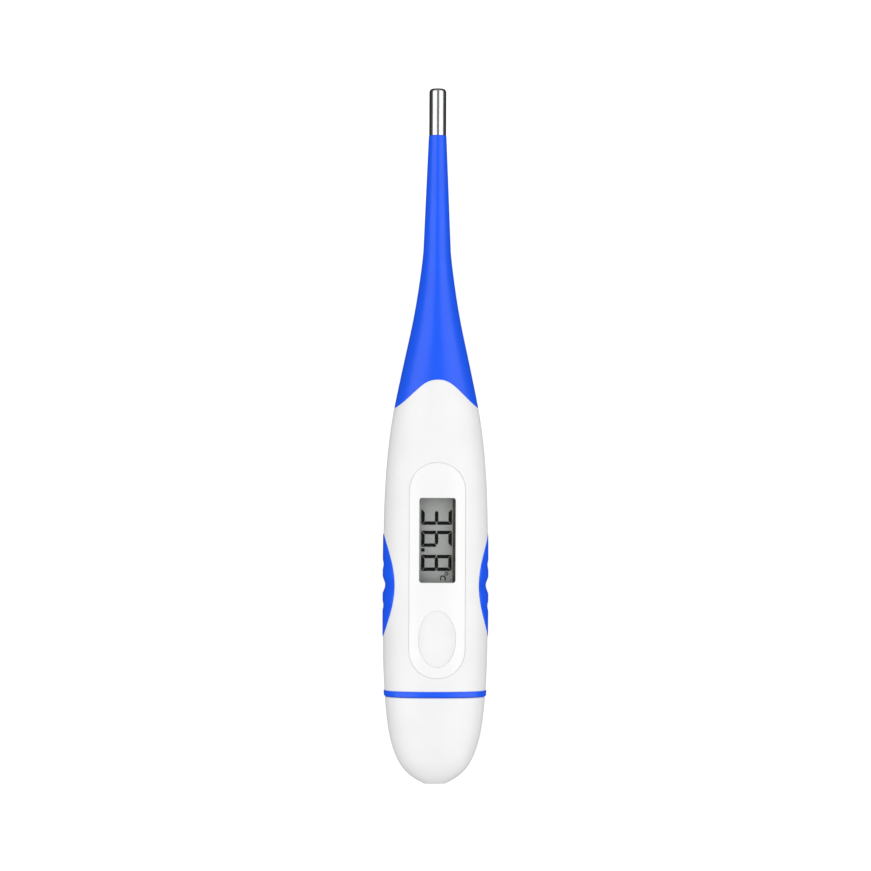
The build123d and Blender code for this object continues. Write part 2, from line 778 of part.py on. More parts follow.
with BuildPart() as battery_drawer:
    # tray that is open at the front, with a wall round the cell
    floor_z = cell_bottom_z - drawer_floor
    with BuildSketch(Plane.XY.offset(floor_z)):
        drawer_outline(drawer_half_width)
    extrude(amount=drawer_top_z - floor_z)
    with BuildSketch(Plane.XY.offset(cell_bottom_z)):
        drawer_outline(drawer_half_width - drawer_wall)
    extrude(amount=beyond, mode=Mode.SUBTRACT)
    with BuildSketch(Plane.XY.offset(cell_bottom_z)):
        with Locations((0, drawer_front_y)):
            Rectangle(2 * (drawer_half_width - drawer_wall), 1)
    extrude(amount=beyond, mode=Mode.SUBTRACT)
    # slot in the floor for the lower contact
    slot_rear_y = contact_reach_y - contact_slot
    with BuildSketch(Plane.XY.offset(floor_z)):
        with Locations((0, (drawer_front_y + slot_rear_y) / 2)):
            Rectangle(contact_width + 2 * contact_slot, drawer_front_y - slot_rear_y)
    extrude(amount=drawer_floor, mode=Mode.SUBTRACT)
    # two stops in front of the cell
    with BuildSketch(Plane.XY.offset(floor_z)):
        with Locations(*((side * stop_x, cell_y + cell_radius + stop_gap) for side in (-1, 1))):
            Rectangle(*stop_size)
    extrude(amount=drawer_floor + stop_height)
    # rails
    with BuildSketch(Plane.XY.offset(rail_z[0])):
        rail_x = (drawer_half_width + rail_half_width) / 2
        with Locations(*((side * rail_x, (drawer_front_y + rail_rear_y) / 2) for side in (-1, 1))):
            Rectangle(rail_half_width - drawer_half_width, drawer_front_y - rail_rear_y)
    extrude(amount=rail_z[1] - rail_z[0])
    # lip for a fingernail
    with BuildSketch(Plane.XY.offset(floor_z)):
        with Locations((0, cell_y - drawer_half_width)):
            RectangleRounded(*lip_size, lip_corner)
    extrude(amount=drawer_top_z - floor_z)
    with BuildSketch(Plane.XY.offset(cell_bottom_z)):
        with Locations((0, cell_y)):
            Circle(drawer_half_width - drawer_wall)
    extrude(amount=beyond, mode=Mode.SUBTRACT)
write(battery_drawer, "battery_drawer")

with BuildPart() as button_cell:
    with BuildSketch(Plane.XY.offset(cell_bottom_z)):
        with Locations((0, cell_y)):
            Circle(cell_radius)
    extrude(amount=cell_height - cell_lid_height)
    fillet(button_cell.edges().filter_by(GeomType.CIRCLE), cell_edge)
    with BuildSketch(Plane.XY.offset(cell_bottom_z + cell_height - cell_lid_height)):
        with Locations((0, cell_y)):
            Circle(cell_radius - cell_rim)
    extrude(amount=cell_lid_height)
write(button_cell, "button_cell")

lower_leaf_z = cell_bottom_z - contact_gap - contact_thickness
upper_leaf_z = cell_bottom_z + cell_height + contact_gap
for name, pad_z, leaf_z in (
    ("positive_contact", board_bottom_z - contact_thickness, lower_leaf_z),
    ("negative_contact", board_top_z, upper_leaf_z),
):
    with BuildPart() as contact:
        riser_low = min(pad_z, leaf_z)
        riser_high = max(pad_z, leaf_z) + contact_thickness
        pad_length = contact_pad_front_y - contact_riser_y
        leaf_length = contact_riser_y - contact_reach_y
        with BuildSketch(Plane.YZ):
            with Locations((contact_riser_y, pad_z)):
                Rectangle(pad_length, contact_thickness, align=Align.MIN)
            with Locations((contact_riser_y, riser_low)):
                Rectangle(contact_thickness, riser_high - riser_low, align=(Align.MAX, Align.MIN))
            with Locations((contact_riser_y, leaf_z)):
                Rectangle(leaf_length, contact_thickness, align=(Align.MAX, Align.MIN))
        extrude(amount=contact_width / 2, both=True)
    write(contact, name)
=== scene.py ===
"""Looks of the flexible-tip digital thermometer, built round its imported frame.

Sizes are in millimetres in the part's frame: +Y runs to the sensor tip, +Z out of the display, and the
thermometer lies on its back on z = 0. Meshes are written in metres.
"""

import json
import logging
import math
from collections.abc import Callable, Iterable, Sequence
from dataclasses import dataclass, field
from enum import Enum

import bmesh
import bpy
import numpy as np
from mathutils import Matrix, Vector


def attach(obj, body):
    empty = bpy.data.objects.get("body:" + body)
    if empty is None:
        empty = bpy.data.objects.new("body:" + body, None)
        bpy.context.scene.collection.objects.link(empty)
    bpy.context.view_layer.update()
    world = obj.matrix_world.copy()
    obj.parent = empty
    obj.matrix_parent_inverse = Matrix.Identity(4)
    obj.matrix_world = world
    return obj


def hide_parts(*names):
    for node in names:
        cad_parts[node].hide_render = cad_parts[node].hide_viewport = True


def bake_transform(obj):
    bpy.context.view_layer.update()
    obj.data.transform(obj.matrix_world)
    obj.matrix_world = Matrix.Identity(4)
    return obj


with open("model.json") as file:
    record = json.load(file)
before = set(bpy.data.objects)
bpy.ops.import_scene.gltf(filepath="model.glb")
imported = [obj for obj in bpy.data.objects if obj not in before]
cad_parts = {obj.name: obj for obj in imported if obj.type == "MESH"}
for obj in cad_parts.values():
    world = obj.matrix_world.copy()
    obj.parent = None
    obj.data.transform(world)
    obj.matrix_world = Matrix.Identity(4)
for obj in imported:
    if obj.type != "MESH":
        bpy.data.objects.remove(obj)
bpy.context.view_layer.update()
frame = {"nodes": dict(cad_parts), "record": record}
MM = 0.001
WELD = 0.002  # points nearer than this are one point
CRISP_DEG = 38.0  # edges that turn by more than this stay crisp
ABOVE = 16.0  # a height over everything
BEYOND = 15.0  # a distance out past the sides
SHELL_END_Y = -50.8  # where the white shells meet the sealing ring

log = logging.getLogger("thermometer")

Point = tuple[float, float, float]
PlanPoint = tuple[float, float]
Row = list[Point]


# ------------------------------------------------------------------------------------ finishes
class Pattern(Enum):
    """How the fine relief of a finish lies on the piece, as stretch along X, Y and Z."""

    GRAIN = (1.0, 1.0, 1.0)  # the same every way: spark-eroded moulds, castings, pours
    TURNED = (0.04, 1.0, 0.04)  # rings round the long axis, from turning or polishing on a spindle
    ROLLED = (1.0, 0.06, 1.0)  # lines along the length, from rolling or drawing
    LAYERED = (0.05, 1.0, 0.05)  # thin layers stacked along the length


def linear(code: str) -> tuple[float, float, float, float]:
    """Turns an sRGB hex colour into the linear colour that a shader takes.

    Args:
        code: six hex digits, such as "f4f4f2".

    Returns:
        Red, green and blue in linear light, and an alpha of 1.
    """
    parts = [int(code[i:i + 2], 16) / 255 for i in (0, 2, 4)]
    return (*(p / 12.92 if p <= 0.04045 else ((p + 0.055) / 1.055) ** 2.4 for p in parts), 1.0)


def add_node(
    tree: bpy.types.NodeTree, kind: str, settings: dict | None = None, links: dict | None = None
) -> bpy.types.ShaderNode:
    """Adds one shader node with its settings and its incoming links.

    Args:
        tree: the material's node tree.
        kind: the node's type name.
        settings: value for each node property, or for each input socket by name or number.
        links: output socket for each input socket by name or number.

    Returns:
        The new node.
    """
    node = tree.nodes.new(kind)
    for name, value in (settings or {}).items():
        if isinstance(name, str) and hasattr(node, name):
            setattr(node, name, value)
        else:
            node.inputs[name].default_value = value
    for name, socket in (links or {}).items():
        tree.links.new(socket, node.inputs[name])
    return node


@dataclass(frozen=True)
class Finish:
    """A material and how its surface was made.

    The tone drifts between two colours in soft clouds, the roughness drifts with it, and a fine relief
    lies on top.
    """

    name: str
    colour: str
    shade: str
    roughness: tuple[float, float]
    ior: float = 1.5
    metallic: float = 0.0
    pattern: Pattern = Pattern.GRAIN
    grain_mm: float = 0.3
    relief_mm: float = 0.004
    cloud_mm: float = 8.0
    coat: float = 0.0
    gloss: float = 0.5
    under_skin_mm: float = 0.0
    weave_mm: float = 0.0

    def material(self) -> bpy.types.Material:
        """Returns the finish's material, and makes it the first time."""
        found = bpy.data.materials.get(self.name)
        if found:
            return found
        made = bpy.data.materials.new(self.name)
        made.use_nodes = True
        tree = made.node_tree
        tree.nodes.clear()
        place = add_node(tree, "ShaderNodeTexCoord").outputs["Object"]
        add_node(tree, "ShaderNodeOutputMaterial", {}, {"Surface": self.surface(tree, place)})
        return made

    def surface(self, tree: bpy.types.NodeTree, place: bpy.types.NodeSocket) -> bpy.types.NodeSocket:
        """Adds the shader.

        Args:
            tree: the material's node tree.
            place: the socket that gives the place on the piece.

        Returns:
            The shader's output.
        """
        clouds = add_node(
            tree, "ShaderNodeTexNoise", {"Scale": 1 / (self.cloud_mm * MM), "Detail": 3.0}, {"Vector": place}
        ).outputs["Fac"]
        tone = add_node(
            tree, "ShaderNodeMapRange", {"From Min": 0.3, "From Max": 0.7}, {"Value": clouds}
        ).outputs["Result"]
        colour = add_node(
            tree,
            "ShaderNodeMix",
            {"data_type": "RGBA", 6: linear(self.colour), 7: linear(self.shade)},
            {0: tone},
        ).outputs[2]
        rough = add_node(
            tree,
            "ShaderNodeMapRange",
            {"To Min": self.roughness[0], "To Max": self.roughness[1]},
            {"Value": tone},
        ).outputs["Result"]
        settings = {
            "IOR": self.ior,
            "Metallic": self.metallic,
            "Coat Weight": self.coat,
            "Coat Roughness": 0.06,
            "Specular IOR Level": self.gloss,
        }
        if self.metallic:
            del settings["IOR"]
        if self.under_skin_mm:
            settings["Subsurface Weight"] = 0.25
            settings["Subsurface Radius"] = (1.0, 1.0, 1.0)
            settings["Subsurface Scale"] = self.under_skin_mm * MM
        shader = add_node(
            tree,
            "ShaderNodeBsdfPrincipled",
            settings,
            {"Base Color": colour, "Roughness": rough, "Normal": self.relief(tree, place)},
        )
        return shader.outputs[0]

    def relief(self, tree: bpy.types.NodeTree, place: bpy.types.NodeSocket) -> bpy.types.NodeSocket:
        """Adds the fine relief.

        Args:
            tree: the material's node tree.
            place: the socket that gives the place on the piece.

        Returns:
            The normal that the relief gives.
        """
        spread = add_node(tree, "ShaderNodeMapping", {"Scale": self.pattern.value}, {"Vector": place})
        height = add_node(
            tree,
            "ShaderNodeTexNoise",
            {"Scale": 1 / (self.grain_mm * MM), "Detail": 4.0, "Roughness": 0.6},
            {"Vector": spread.outputs[0]},
        ).outputs["Fac"]
        if self.weave_mm:
            threads = [
                add_node(
                    tree,
                    "ShaderNodeTexWave",
                    {"bands_direction": way, "Scale": 1 / (math.tau * self.weave_mm * MM), "Distortion": 0.3},
                    {"Vector": place},
                ).outputs["Fac"]
                for way in ("X", "Y")
            ]
            cloth = add_node(
                tree, "ShaderNodeMath", {"operation": "MULTIPLY"}, {0: threads[0], 1: threads[1]}
            ).outputs[0]
            height = add_node(
                tree, "ShaderNodeMath", {"operation": "ADD"}, {0: height, 1: cloth}
            ).outputs[0]
        return add_node(
            tree, "ShaderNodeBump", {"Strength": 1.0, "Distance": self.relief_mm * MM}, {"Height": height}
        ).outputs[0]


@dataclass(frozen=True)
class ClearFinish(Finish):
    """A thin clear layer: light goes straight through its tint, and a little of it is mirrored."""

    mirror: float = 0.04

    def surface(self, tree: bpy.types.NodeTree, place: bpy.types.NodeSocket) -> bpy.types.NodeSocket:
        """Adds the shader: more mirror towards a grazing view, by Schlick's rule.

        Args:
            tree: the material's node tree.
            place: the socket that gives the place on the piece.

        Returns:
            The shader's output.
        """
        through = add_node(tree, "ShaderNodeBsdfTransparent", {"Color": linear(self.colour)})
        mirror = add_node(
            tree,
            "ShaderNodeBsdfGlossy",
            {"Color": linear(self.shade), "Roughness": self.roughness[0]},
            {"Normal": self.relief(tree, place)},
        )
        turned = add_node(tree, "ShaderNodeLayerWeight", {"Blend": 0.5}).outputs["Facing"]
        steep = add_node(tree, "ShaderNodeMath", {"operation": "POWER", 1: 5.0}, {0: turned}).outputs[0]
        share = add_node(tree, "ShaderNodeMapRange", {"To Min": self.mirror, "To Max": 0.9}, {"Value": steep})
        mixed = add_node(
            tree,
            "ShaderNodeMixShader",
            {},
            {0: share.outputs[0], 1: through.outputs[0], 2: mirror.outputs[0]},
        )
        return mixed.outputs[0]


# ABS from a finely spark-eroded mould: a clean warm-neutral white with a soft, wide highlight.
SATIN_ABS = Finish("abs_moulded_satin", "f5f5f5", "f1f1f2", (0.34, 0.42), ior=1.53, relief_mm=0.0015)
# ABS from a polished mould: the same white with a tighter highlight.
GLOSS_ABS = Finish("abs_moulded_gloss", "f9f9f9", "f6f6f7", (0.2, 0.26), ior=1.53, relief_mm=0.0006)
# TPE from an etched mould: deep saturated blue, dull sheen along the shaft rather than a gloss.
SATIN_TPE = Finish(
    "tpe_moulded_etched", "065cff", "0558f8", (0.28, 0.34), ior=1.47, grain_mm=0.22, relief_mm=0.003
)
# Silicone from a matte mould: white that light sinks into a little, so that its edge is soft.
MATTE_SILICONE = Finish(
    "silicone_moulded_matte", "f6f6f6", "f2f2f2", (0.42, 0.5), ior=1.41, relief_mm=0.001, under_skin_mm=0.6
)
# Stainless steel, drawn and polished on a spindle: sharp streaks of light and dark along its length.
POLISHED_STEEL = Finish(
    "stainless_steel_polished", "d8d8d8", "cdced0", (0.08, 0.13), metallic=1.0, pattern=Pattern.TURNED,
    grain_mm=0.12, relief_mm=0.0006, cloud_mm=3.0,
)
# PMMA, moulded and polished: almost unseen, with a faint clear gloss.
CLEAR_PMMA = ClearFinish("pmma_moulded_clear", "fbfcfb", "ffffff", (0.05, 0.05), relief_mm=0.0, mirror=0.015)
# Float glass: thin, clear and slightly green.
FLOAT_GLASS = ClearFinish("glass_float", "fcfdfc", "ffffff", (0.03, 0.03), relief_mm=0.0, mirror=0.003)
# Stretched polymer film: it takes light away evenly, so that what lies under it turns grey.
POLARISER_FILM = ClearFinish(
    "polariser_film_stretched", "f4f2f4", "ffffff", (0.2, 0.2), relief_mm=0.0, mirror=0.003
)
# Float glass over the silvered film: a pale grey plate with no depth of its own.
BACKED_GLASS = Finish(
    "glass_float_backed", "dfdfdf", "dadada", (0.3, 0.36), ior=1.52, relief_mm=0.0005, gloss=0.2
)
# Silvered diffusing film: mid grey with a fine sparkle-free tooth.
DIFFUSE_REFLECTOR = Finish(
    "reflector_film_silvered", "e6e7e6", "dcdddc", (0.55, 0.65), grain_mm=0.15, relief_mm=0.003
)
# Liquid crystal switched on: flat black strokes with crisp edges.
BLACK_CRYSTAL = Finish(
    "liquid_crystal_switched", "020202", "030303", (0.5, 0.6), relief_mm=0.0002, gloss=0.05
)
# Epoxy line that closes the cell: dull, slightly yellow.
CELL_EPOXY = Finish("epoxy_printed_line", "8b8a78", "7f7e6e", (0.45, 0.55))
# Uncoloured ABS for inner pieces: ivory, a little uneven.
NATURAL_ABS = Finish("abs_moulded_natural", "e6e2d6", "dcd7c9", (0.4, 0.5), ior=1.53, relief_mm=0.003)
# Silicone in conducting and plain layers: fine dark bands across the strip.
ZEBRA_SILICONE = Finish(
    "silicone_layered", "3c3c40", "8a8a90", (0.5, 0.6), ior=1.41, pattern=Pattern.LAYERED, cloud_mm=0.25
)
# Glass epoxy under green solder mask: the cloth shows through as a faint woven relief.
SOLDER_MASK = Finish(
    "glass_epoxy_masked", "0f5a33", "0c4a2a", (0.25, 0.35), relief_mm=0.012, weave_mm=0.4, coat=0.3
)
# Black epoxy that was poured and set: a glossy pool with slow waves.
BLACK_EPOXY = Finish("epoxy_poured_black", "0b0b0c", "121214", (0.12, 0.2), grain_mm=1.5, relief_mm=0.02)
# Clear amber epoxy that was poured and set.
AMBER_EPOXY = Finish("epoxy_poured_amber", "a87432", "946325", (0.15, 0.25), grain_mm=0.8, relief_mm=0.01)
# Fired ceramic chips: matt brown-grey with a sandy tooth.
CHIP_CERAMIC = Finish("ceramic_fired_brown", "8c6f4f", "5f5347", (0.6, 0.75), cloud_mm=0.7, relief_mm=0.006)
# Fired ceramic disc: off-white and matt.
WHITE_CERAMIC = Finish("ceramic_fired_white", "ddd8c8", "d2ccba", (0.55, 0.7), relief_mm=0.004)
# Brass sheet from the rolling mill: warm metal with lines along the sheet.
ROLLED_BRASS = Finish(
    "brass_rolled", "d9b566", "c79f50", (0.25, 0.35), metallic=1.0, pattern=Pattern.ROLLED, grain_mm=0.1
)
# Enamelled copper wire: reddish metal under a thin clear skin.
ENAMELLED_COPPER = Finish(
    "copper_drawn_enamelled", "c9743f", "b86634", (0.2, 0.3), metallic=1.0, pattern=Pattern.ROLLED,
    grain_mm=0.08, coat=0.6,
)
# Nylon from a plain mould: black with a dull, slightly uneven face.
BLACK_NYLON = Finish("nylon_moulded_black", "161617", "1e1e20", (0.45, 0.6), ior=1.53, relief_mm=0.004)
# Spring steel with a nickel plate: bright, faintly yellow, with rolling lines.
NICKEL_SPRING = Finish(
    "spring_steel_nickel_plated", "cfc9b8", "bfb9a8", (0.2, 0.3), metallic=1.0, pattern=Pattern.ROLLED,
    grain_mm=0.1,
)
# Pressed steel can with a nickel plate: bright with a soft brushed grain.
CELL_STEEL = Finish("steel_can_nickel_plated", "d3d3d0", "c4c4c2", (0.22, 0.32), metallic=1.0, grain_mm=0.15)
# Foam adhesive: dull dark grey with open pores.
ADHESIVE_FOAM = Finish("foam_adhesive_die_cut", "2a2a2c", "232325", (0.7, 0.85), relief_mm=0.02)

SLOT_FINISHES = {
    "white_shell": SATIN_ABS,
    "white_panel": GLOSS_ABS,
    "blue_rubber": SATIN_TPE,
    "steel": POLISHED_STEEL,
    "button_rubber": MATTE_SILICONE,
    "clear_window": CLEAR_PMMA,
    "window_adhesive": ADHESIVE_FOAM,
    "lcd_glass": FLOAT_GLASS,
    "lcd_rear_glass": BACKED_GLASS,
    "polariser": POLARISER_FILM,
    "reflector": DIFFUSE_REFLECTOR,
    "lcd_segments": BLACK_CRYSTAL,
    "epoxy_seal": CELL_EPOXY,
    "natural_plastic": NATURAL_ABS,
    "zebra_rubber": ZEBRA_SILICONE,
    "board": SOLDER_MASK,
    "black_epoxy": BLACK_EPOXY,
    "clear_epoxy": AMBER_EPOXY,
    "chips": CHIP_CERAMIC,
    "brass": ROLLED_BRASS,
    "ceramic": WHITE_CERAMIC,
    "lead_wire": ENAMELLED_COPPER,
    "switch_plastic": BLACK_NYLON,
    "nickel": NICKEL_SPRING,
    "cell_steel": CELL_STEEL,
}


# ------------------------------------------------------------------------------------ mesh work
class MeshBuild:
    """Collects grids of points in millimetres, and welds them into one closed mesh."""

    def __init__(self, name: str) -> None:
        """Starts an empty piece.

        Args:
            name: the name of the piece.
        """
        self.name = name
        self.points: list[Point] = []
        self.faces: list[tuple[int, ...]] = []

    def grid(self, rows: Sequence[Sequence[Point]], wrap: bool = False) -> None:
        """Adds four-sided faces between rows of points.

        Args:
            rows: rows with the same number of points each.
            wrap: whether each row is a ring.
        """
        start = len(self.points)
        width = len(rows[0])
        for row in rows:
            self.points.extend(row)
        spans = width if wrap else width - 1
        for i in range(len(rows) - 1):
            for j in range(spans):
                a = start + i * width + j
                b = start + i * width + (j + 1) % width
                self.faces.append((a, b, b + width, a + width))

    def cap(self, ring: Sequence[Point]) -> None:
        """Closes a flat ring with one face.

        Args:
            ring: the points round it.
        """
        start = len(self.points)
        self.points.extend(ring)
        self.faces.append(tuple(range(start, start + len(ring))))

    def piece(self, crisp_deg: float = CRISP_DEG) -> bpy.types.Object:
        """Welds what was added into one object with its faces turned outwards.

        Args:
            crisp_deg: edges that turn by more than this stay crisp.

        Returns:
            The object, in metres.
        """
        shape = bmesh.new()
        corners = [shape.verts.new(Vector(p) * MM) for p in self.points]
        for face in self.faces:
            shape.faces.new([corners[i] for i in face])
        bmesh.ops.remove_doubles(shape, verts=shape.verts, dist=WELD * MM)
        bmesh.ops.dissolve_degenerate(shape, edges=shape.edges, dist=WELD * MM / 4)
        bmesh.ops.recalc_face_normals(shape, faces=shape.faces)
        mesh = bpy.data.meshes.new(self.name)
        shape.to_mesh(mesh)
        shape.free()
        made = bpy.data.objects.new(self.name, mesh)
        bpy.context.scene.collection.objects.link(made)
        smooth(made, crisp_deg)
        return made


def smooth(piece: bpy.types.Object, crisp_deg: float) -> None:
    """Shades a piece smooth, with edges over an angle left crisp."""
    piece.data.polygons.foreach_set("use_smooth", [True] * len(piece.data.polygons))
    piece.data.set_sharp_from_angle(angle=math.radians(crisp_deg))


def carve(piece: bpy.types.Object, cutters: Iterable[bpy.types.Object]) -> bpy.types.Object:
    """Cuts solids out of a piece and removes them.

    Args:
        piece: the object that is cut.
        cutters: closed objects.

    Returns:
        The same object, with its new mesh.
    """
    for cutter in cutters:
        cut = piece.modifiers.new("cut", "BOOLEAN")
        cut.object = cutter
        cut.operation = "DIFFERENCE"
        cut.solver = "EXACT"
        bpy.context.view_layer.update()
        ready = piece.evaluated_get(bpy.context.evaluated_depsgraph_get())
        mesh = bpy.data.meshes.new_from_object(ready)
        piece.modifiers.clear()
        piece.data = mesh
        bpy.data.objects.remove(cutter)
    smooth(piece, CRISP_DEG)
    return piece


def settle(
    piece: bpy.types.Object, slot: str, nodes: Sequence[str], body: str | None = None
) -> bpy.types.Object:
    """Gives a piece its slot's finish and its body, and lets it stand for CAD nodes.

    Args:
        piece: the finished object.
        slot: the record's material slot.
        nodes: the CAD nodes that it stands for.
        body: the CAD body that it rides on, or None for a piece that rides on no body.

    Returns:
        The same object.
    """
    piece.data.materials.clear()
    piece.data.materials.append(SLOT_FINISHES[slot].material())
    if nodes:
        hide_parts(*nodes)
    if body:
        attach(piece, body)
    log.info("%s: %d faces, for %s", piece.name, len(piece.data.polygons), ", ".join(nodes) or "no CAD node")
    return piece


def edge_steps(radius: float, count: int = 5) -> list[tuple[float, float]]:
    """Steps round a quarter-round edge.

    Args:
        radius: the edge's radius.
        count: how many steps it takes.

    Returns:
        For each step, the distance from the edge and how far the surface has sunk there.
    """
    turns = [math.pi / 2 * k / count for k in range(count)]
    return [(radius * (1 - math.cos(t)), radius * (1 - math.sin(t))) for t in turns] + [(radius, 0.0)]


def spaced(low: float, high: float, count: int) -> list[float]:
    """Even stations from one limit to another, both included, with count steps between them."""
    return [low + (high - low) * k / count for k in range(count + 1)]


class NaturalCubic:
    """A smooth curve y(x) through a few points, with the same curvature on both sides of each."""

    def __init__(self, points: Sequence[PlanPoint]) -> None:
        """Solves for the curvature at each point.

        Args:
            points: places along x, rising, with their values.
        """
        self.x = np.array([p[0] for p in points])
        self.y = np.array([p[1] for p in points])
        h = np.diff(self.x)
        slopes = np.diff(self.y) / h
        system = np.eye(len(points))
        right = np.zeros(len(points))
        for i in range(1, len(points) - 1):
            system[i, i - 1:i + 2] = (h[i - 1], 2 * (h[i - 1] + h[i]), h[i])
            right[i] = 6 * (slopes[i] - slopes[i - 1])
        self.bend = np.linalg.solve(system, right)

    def at(self, x: float) -> float:
        """Finds the curve's value.

        Args:
            x: the place. One past an end counts as that end.

        Returns:
            The value there.
        """
        x = min(max(x, self.x[0]), self.x[-1])
        i = min(int(np.searchsorted(self.x, x, side="right")) - 1, len(self.x) - 2)
        h = self.x[i + 1] - self.x[i]
        a = (self.x[i + 1] - x) / h
        b = 1 - a
        curve = ((a**3 - a) * self.bend[i] + (b**3 - b) * self.bend[i + 1]) * h * h / 6
        return float(a * self.y[i] + b * self.y[i + 1] + curve)


# ------------------------------------------------------------------------------------ the outer shape
@dataclass(frozen=True)
class Body:
    """The thermometer's outer shape: superellipse sections along Y that turn round towards the shaft."""

    axis_height: float = 5.9
    flatness: float = 0.592
    squareness: float = 2.4
    flat_until: float = -5.0
    round_from: float = 36.0
    rest_softness: float = 0.16
    taper: tuple[PlanPoint, PlanPoint] = ((37.0, 2.74), (60.1, 1.76))
    stations: tuple[PlanPoint, ...] = (
        (-69.5, 2.10), (-68.7, 3.62), (-67.5, 5.28), (-65.9, 6.70), (-63.9, 7.78), (-61.0, 8.77),
        (-57.0, 9.52), (-52.0, 10.02), (-46.0, 10.35), (-38.0, 10.47), (-28.0, 10.47), (-18.0, 10.40),
        (-10.0, 10.14), (-3.0, 9.60), (4.0, 8.68), (10.0, 7.50), (16.0, 6.22), (22.0, 4.93),
        (28.0, 3.87), (33.0, 3.17), (37.0, 2.74), (41.0, 2.57),
    )
    outline: NaturalCubic = field(init=False)

    def __post_init__(self) -> None:
        """Fits the curve through the stations."""
        object.__setattr__(self, "outline", NaturalCubic(self.stations))

    def half_width(self, y: float) -> float:
        """Finds half the width of the plan outline.

        Args:
            y: the place along the length.

        Returns:
            The outline's curve in the handle, and the straight taper in the shaft.
        """
        (near_y, near_r), (far_y, far_r) = self.taper
        if y <= near_y:
            return self.outline.at(y)
        return near_r + (far_r - near_r) * (y - near_y) / (far_y - near_y)

    def roundness(self, y: float) -> float:
        """Returns 0 in the handle and 1 in the round shaft, with a smooth change between."""
        t = min(1.0, max(0.0, (y - self.flat_until) / (self.round_from - self.flat_until)))
        return t * t * (3 - 2 * t)

    def section(self, y: float, grow: float) -> tuple[float, float, float]:
        """Measures the superellipse section.

        Args:
            y: the place along the length.
            grow: how far the surface is moved out.

        Returns:
            Half the width, half the height and the exponent, which is 2 where the section is round.
        """
        turn = self.roundness(y)
        width = self.half_width(y)
        height = width * (self.flatness + (1 - self.flatness) * turn)
        return width + grow, height + grow, self.squareness + (2 - self.squareness) * turn

    def rest(self, z: float) -> float:
        """Returns z pressed flat at the resting plane, with a soft edge to the flat."""
        return (z + math.hypot(z, self.rest_softness)) / 2 if z < 1 else z

    def point(self, y: float, turn: float, grow: float = 0.0) -> Point:
        """A point of the section at y.

        Args:
            y: the place along the length.
            turn: the angle round the section, from +X towards +Z.
            grow: how far the surface is moved out.

        Returns:
            The point, with the resting flat pressed in.
        """
        width, height, power = self.section(y, grow)
        c, s = math.cos(turn), math.sin(turn)
        x = width * math.copysign(abs(c) ** (2 / power), c)
        z = height * math.copysign(abs(s) ** (2 / power), s)
        return x, y, self.rest(self.axis_height + z)

    def top(self, x: float, y: float, grow: float = 0.0) -> float:
        """Returns the height of the front face over a place in plan."""
        width, height, power = self.section(y, grow)
        return self.axis_height + height * max(0.0, 1 - abs(x / width) ** power) ** (1 / power)

    def side(self, y: float, z: float, grow: float = 0.0) -> float:
        """Returns how far the side face is from the middle plane at a place in side view."""
        width, height, power = self.section(y, grow)
        return width * max(0.0, 1 - abs((z - self.axis_height) / height) ** power) ** (1 / power)

    def parting_turn(self, y: float, distance: float, grow: float = 0.0) -> float:
        """Returns the angle at which the surface is a small distance above the parting plane."""
        _, height, power = self.section(y, grow)
        return math.asin(min(1.0, (distance / height)) ** (power / 2))


@dataclass(frozen=True)
class Seam:
    """The arch where the white shells end and the soft nose begins, the same on front and back."""

    arch: tuple[PlanPoint, ...] = ((0.0, 11.2), (2.4, 10.6), (4.25, 9.15), (7.1, 6.5), (9.6, 4.75))
    searched: PlanPoint = (3.0, 12.0)
    halvings: int = 30

    def curve(self) -> Callable[[float], float]:
        """Fits the seam.

        Returns:
            The seam's place along the length as a function of the distance from the middle.
        """
        mirrored = [(-x, y) for x, y in reversed(self.arch[1:])] + list(self.arch)
        through = NaturalCubic(mirrored)
        return lambda x: through.at(abs(x))

    def place(self, body: Body, turn: float, curve: Callable[[float], float]) -> float:
        """Finds the seam at one angle round the body.

        Args:
            body: the outer shape.
            turn: the angle round the section.
            curve: the seam's curve in plan.

        Returns:
            The seam's place along the length.
        """
        low, high = self.searched
        for _ in range(self.halvings):
            y = (low + high) / 2
            if curve(body.point(y, turn)[0]) > y:
                low = y
            else:
                high = y
        return (low + high) / 2


BODY = Body()
SEAM = Seam()


# ------------------------------------------------------------------------------------ plan outlines
def obround(
    width: float, length: float, centre_y: float, inset: float, steps: int = 28, runs: int = 26
) -> list[PlanPoint]:
    """Points round a long oval with straight sides, along Y.

    Args:
        width: full width.
        length: full length.
        centre_y: the middle, along Y.
        inset: how far inside the outline the points lie.
        steps: steps round each end.
        runs: steps along each side.

    Returns:
        The points, counter-clockwise from the right side's rear end.
    """
    radius = width / 2 - inset
    straight = length / 2 - width / 2
    points = []
    for side in (1, -1):
        points += [(side * radius, centre_y + side * straight * (2 * k / runs - 1)) for k in range(runs)]
        for k in range(steps):
            turn = math.pi * k / steps
            end_y = centre_y + side * (straight + radius * math.sin(turn))
            points.append((side * radius * math.cos(turn), end_y))
    return points


def rounded_rectangle(
    width: float, length: float, corner: float, centre_y: float, grow: float = 0.0, steps: int = 8
) -> list[PlanPoint]:
    """Points round a rectangle with round corners.

    Args:
        width: full width.
        length: full length.
        corner: radius of the corners.
        centre_y: the middle, along Y.
        grow: how far outside the outline the points lie.
        steps: steps round each corner.

    Returns:
        The points, counter-clockwise.
    """
    radius = corner + grow
    points = []
    for quarter, (side, end) in enumerate(((1, 1), (-1, 1), (-1, -1), (1, -1))):
        mid_x, mid_y = side * (width / 2 - corner), centre_y + end * (length / 2 - corner)
        for k in range(steps + 1):
            turn = math.pi / 2 * (quarter + k / steps)
            points.append((mid_x + radius * math.cos(turn), mid_y + radius * math.sin(turn)))
    return points


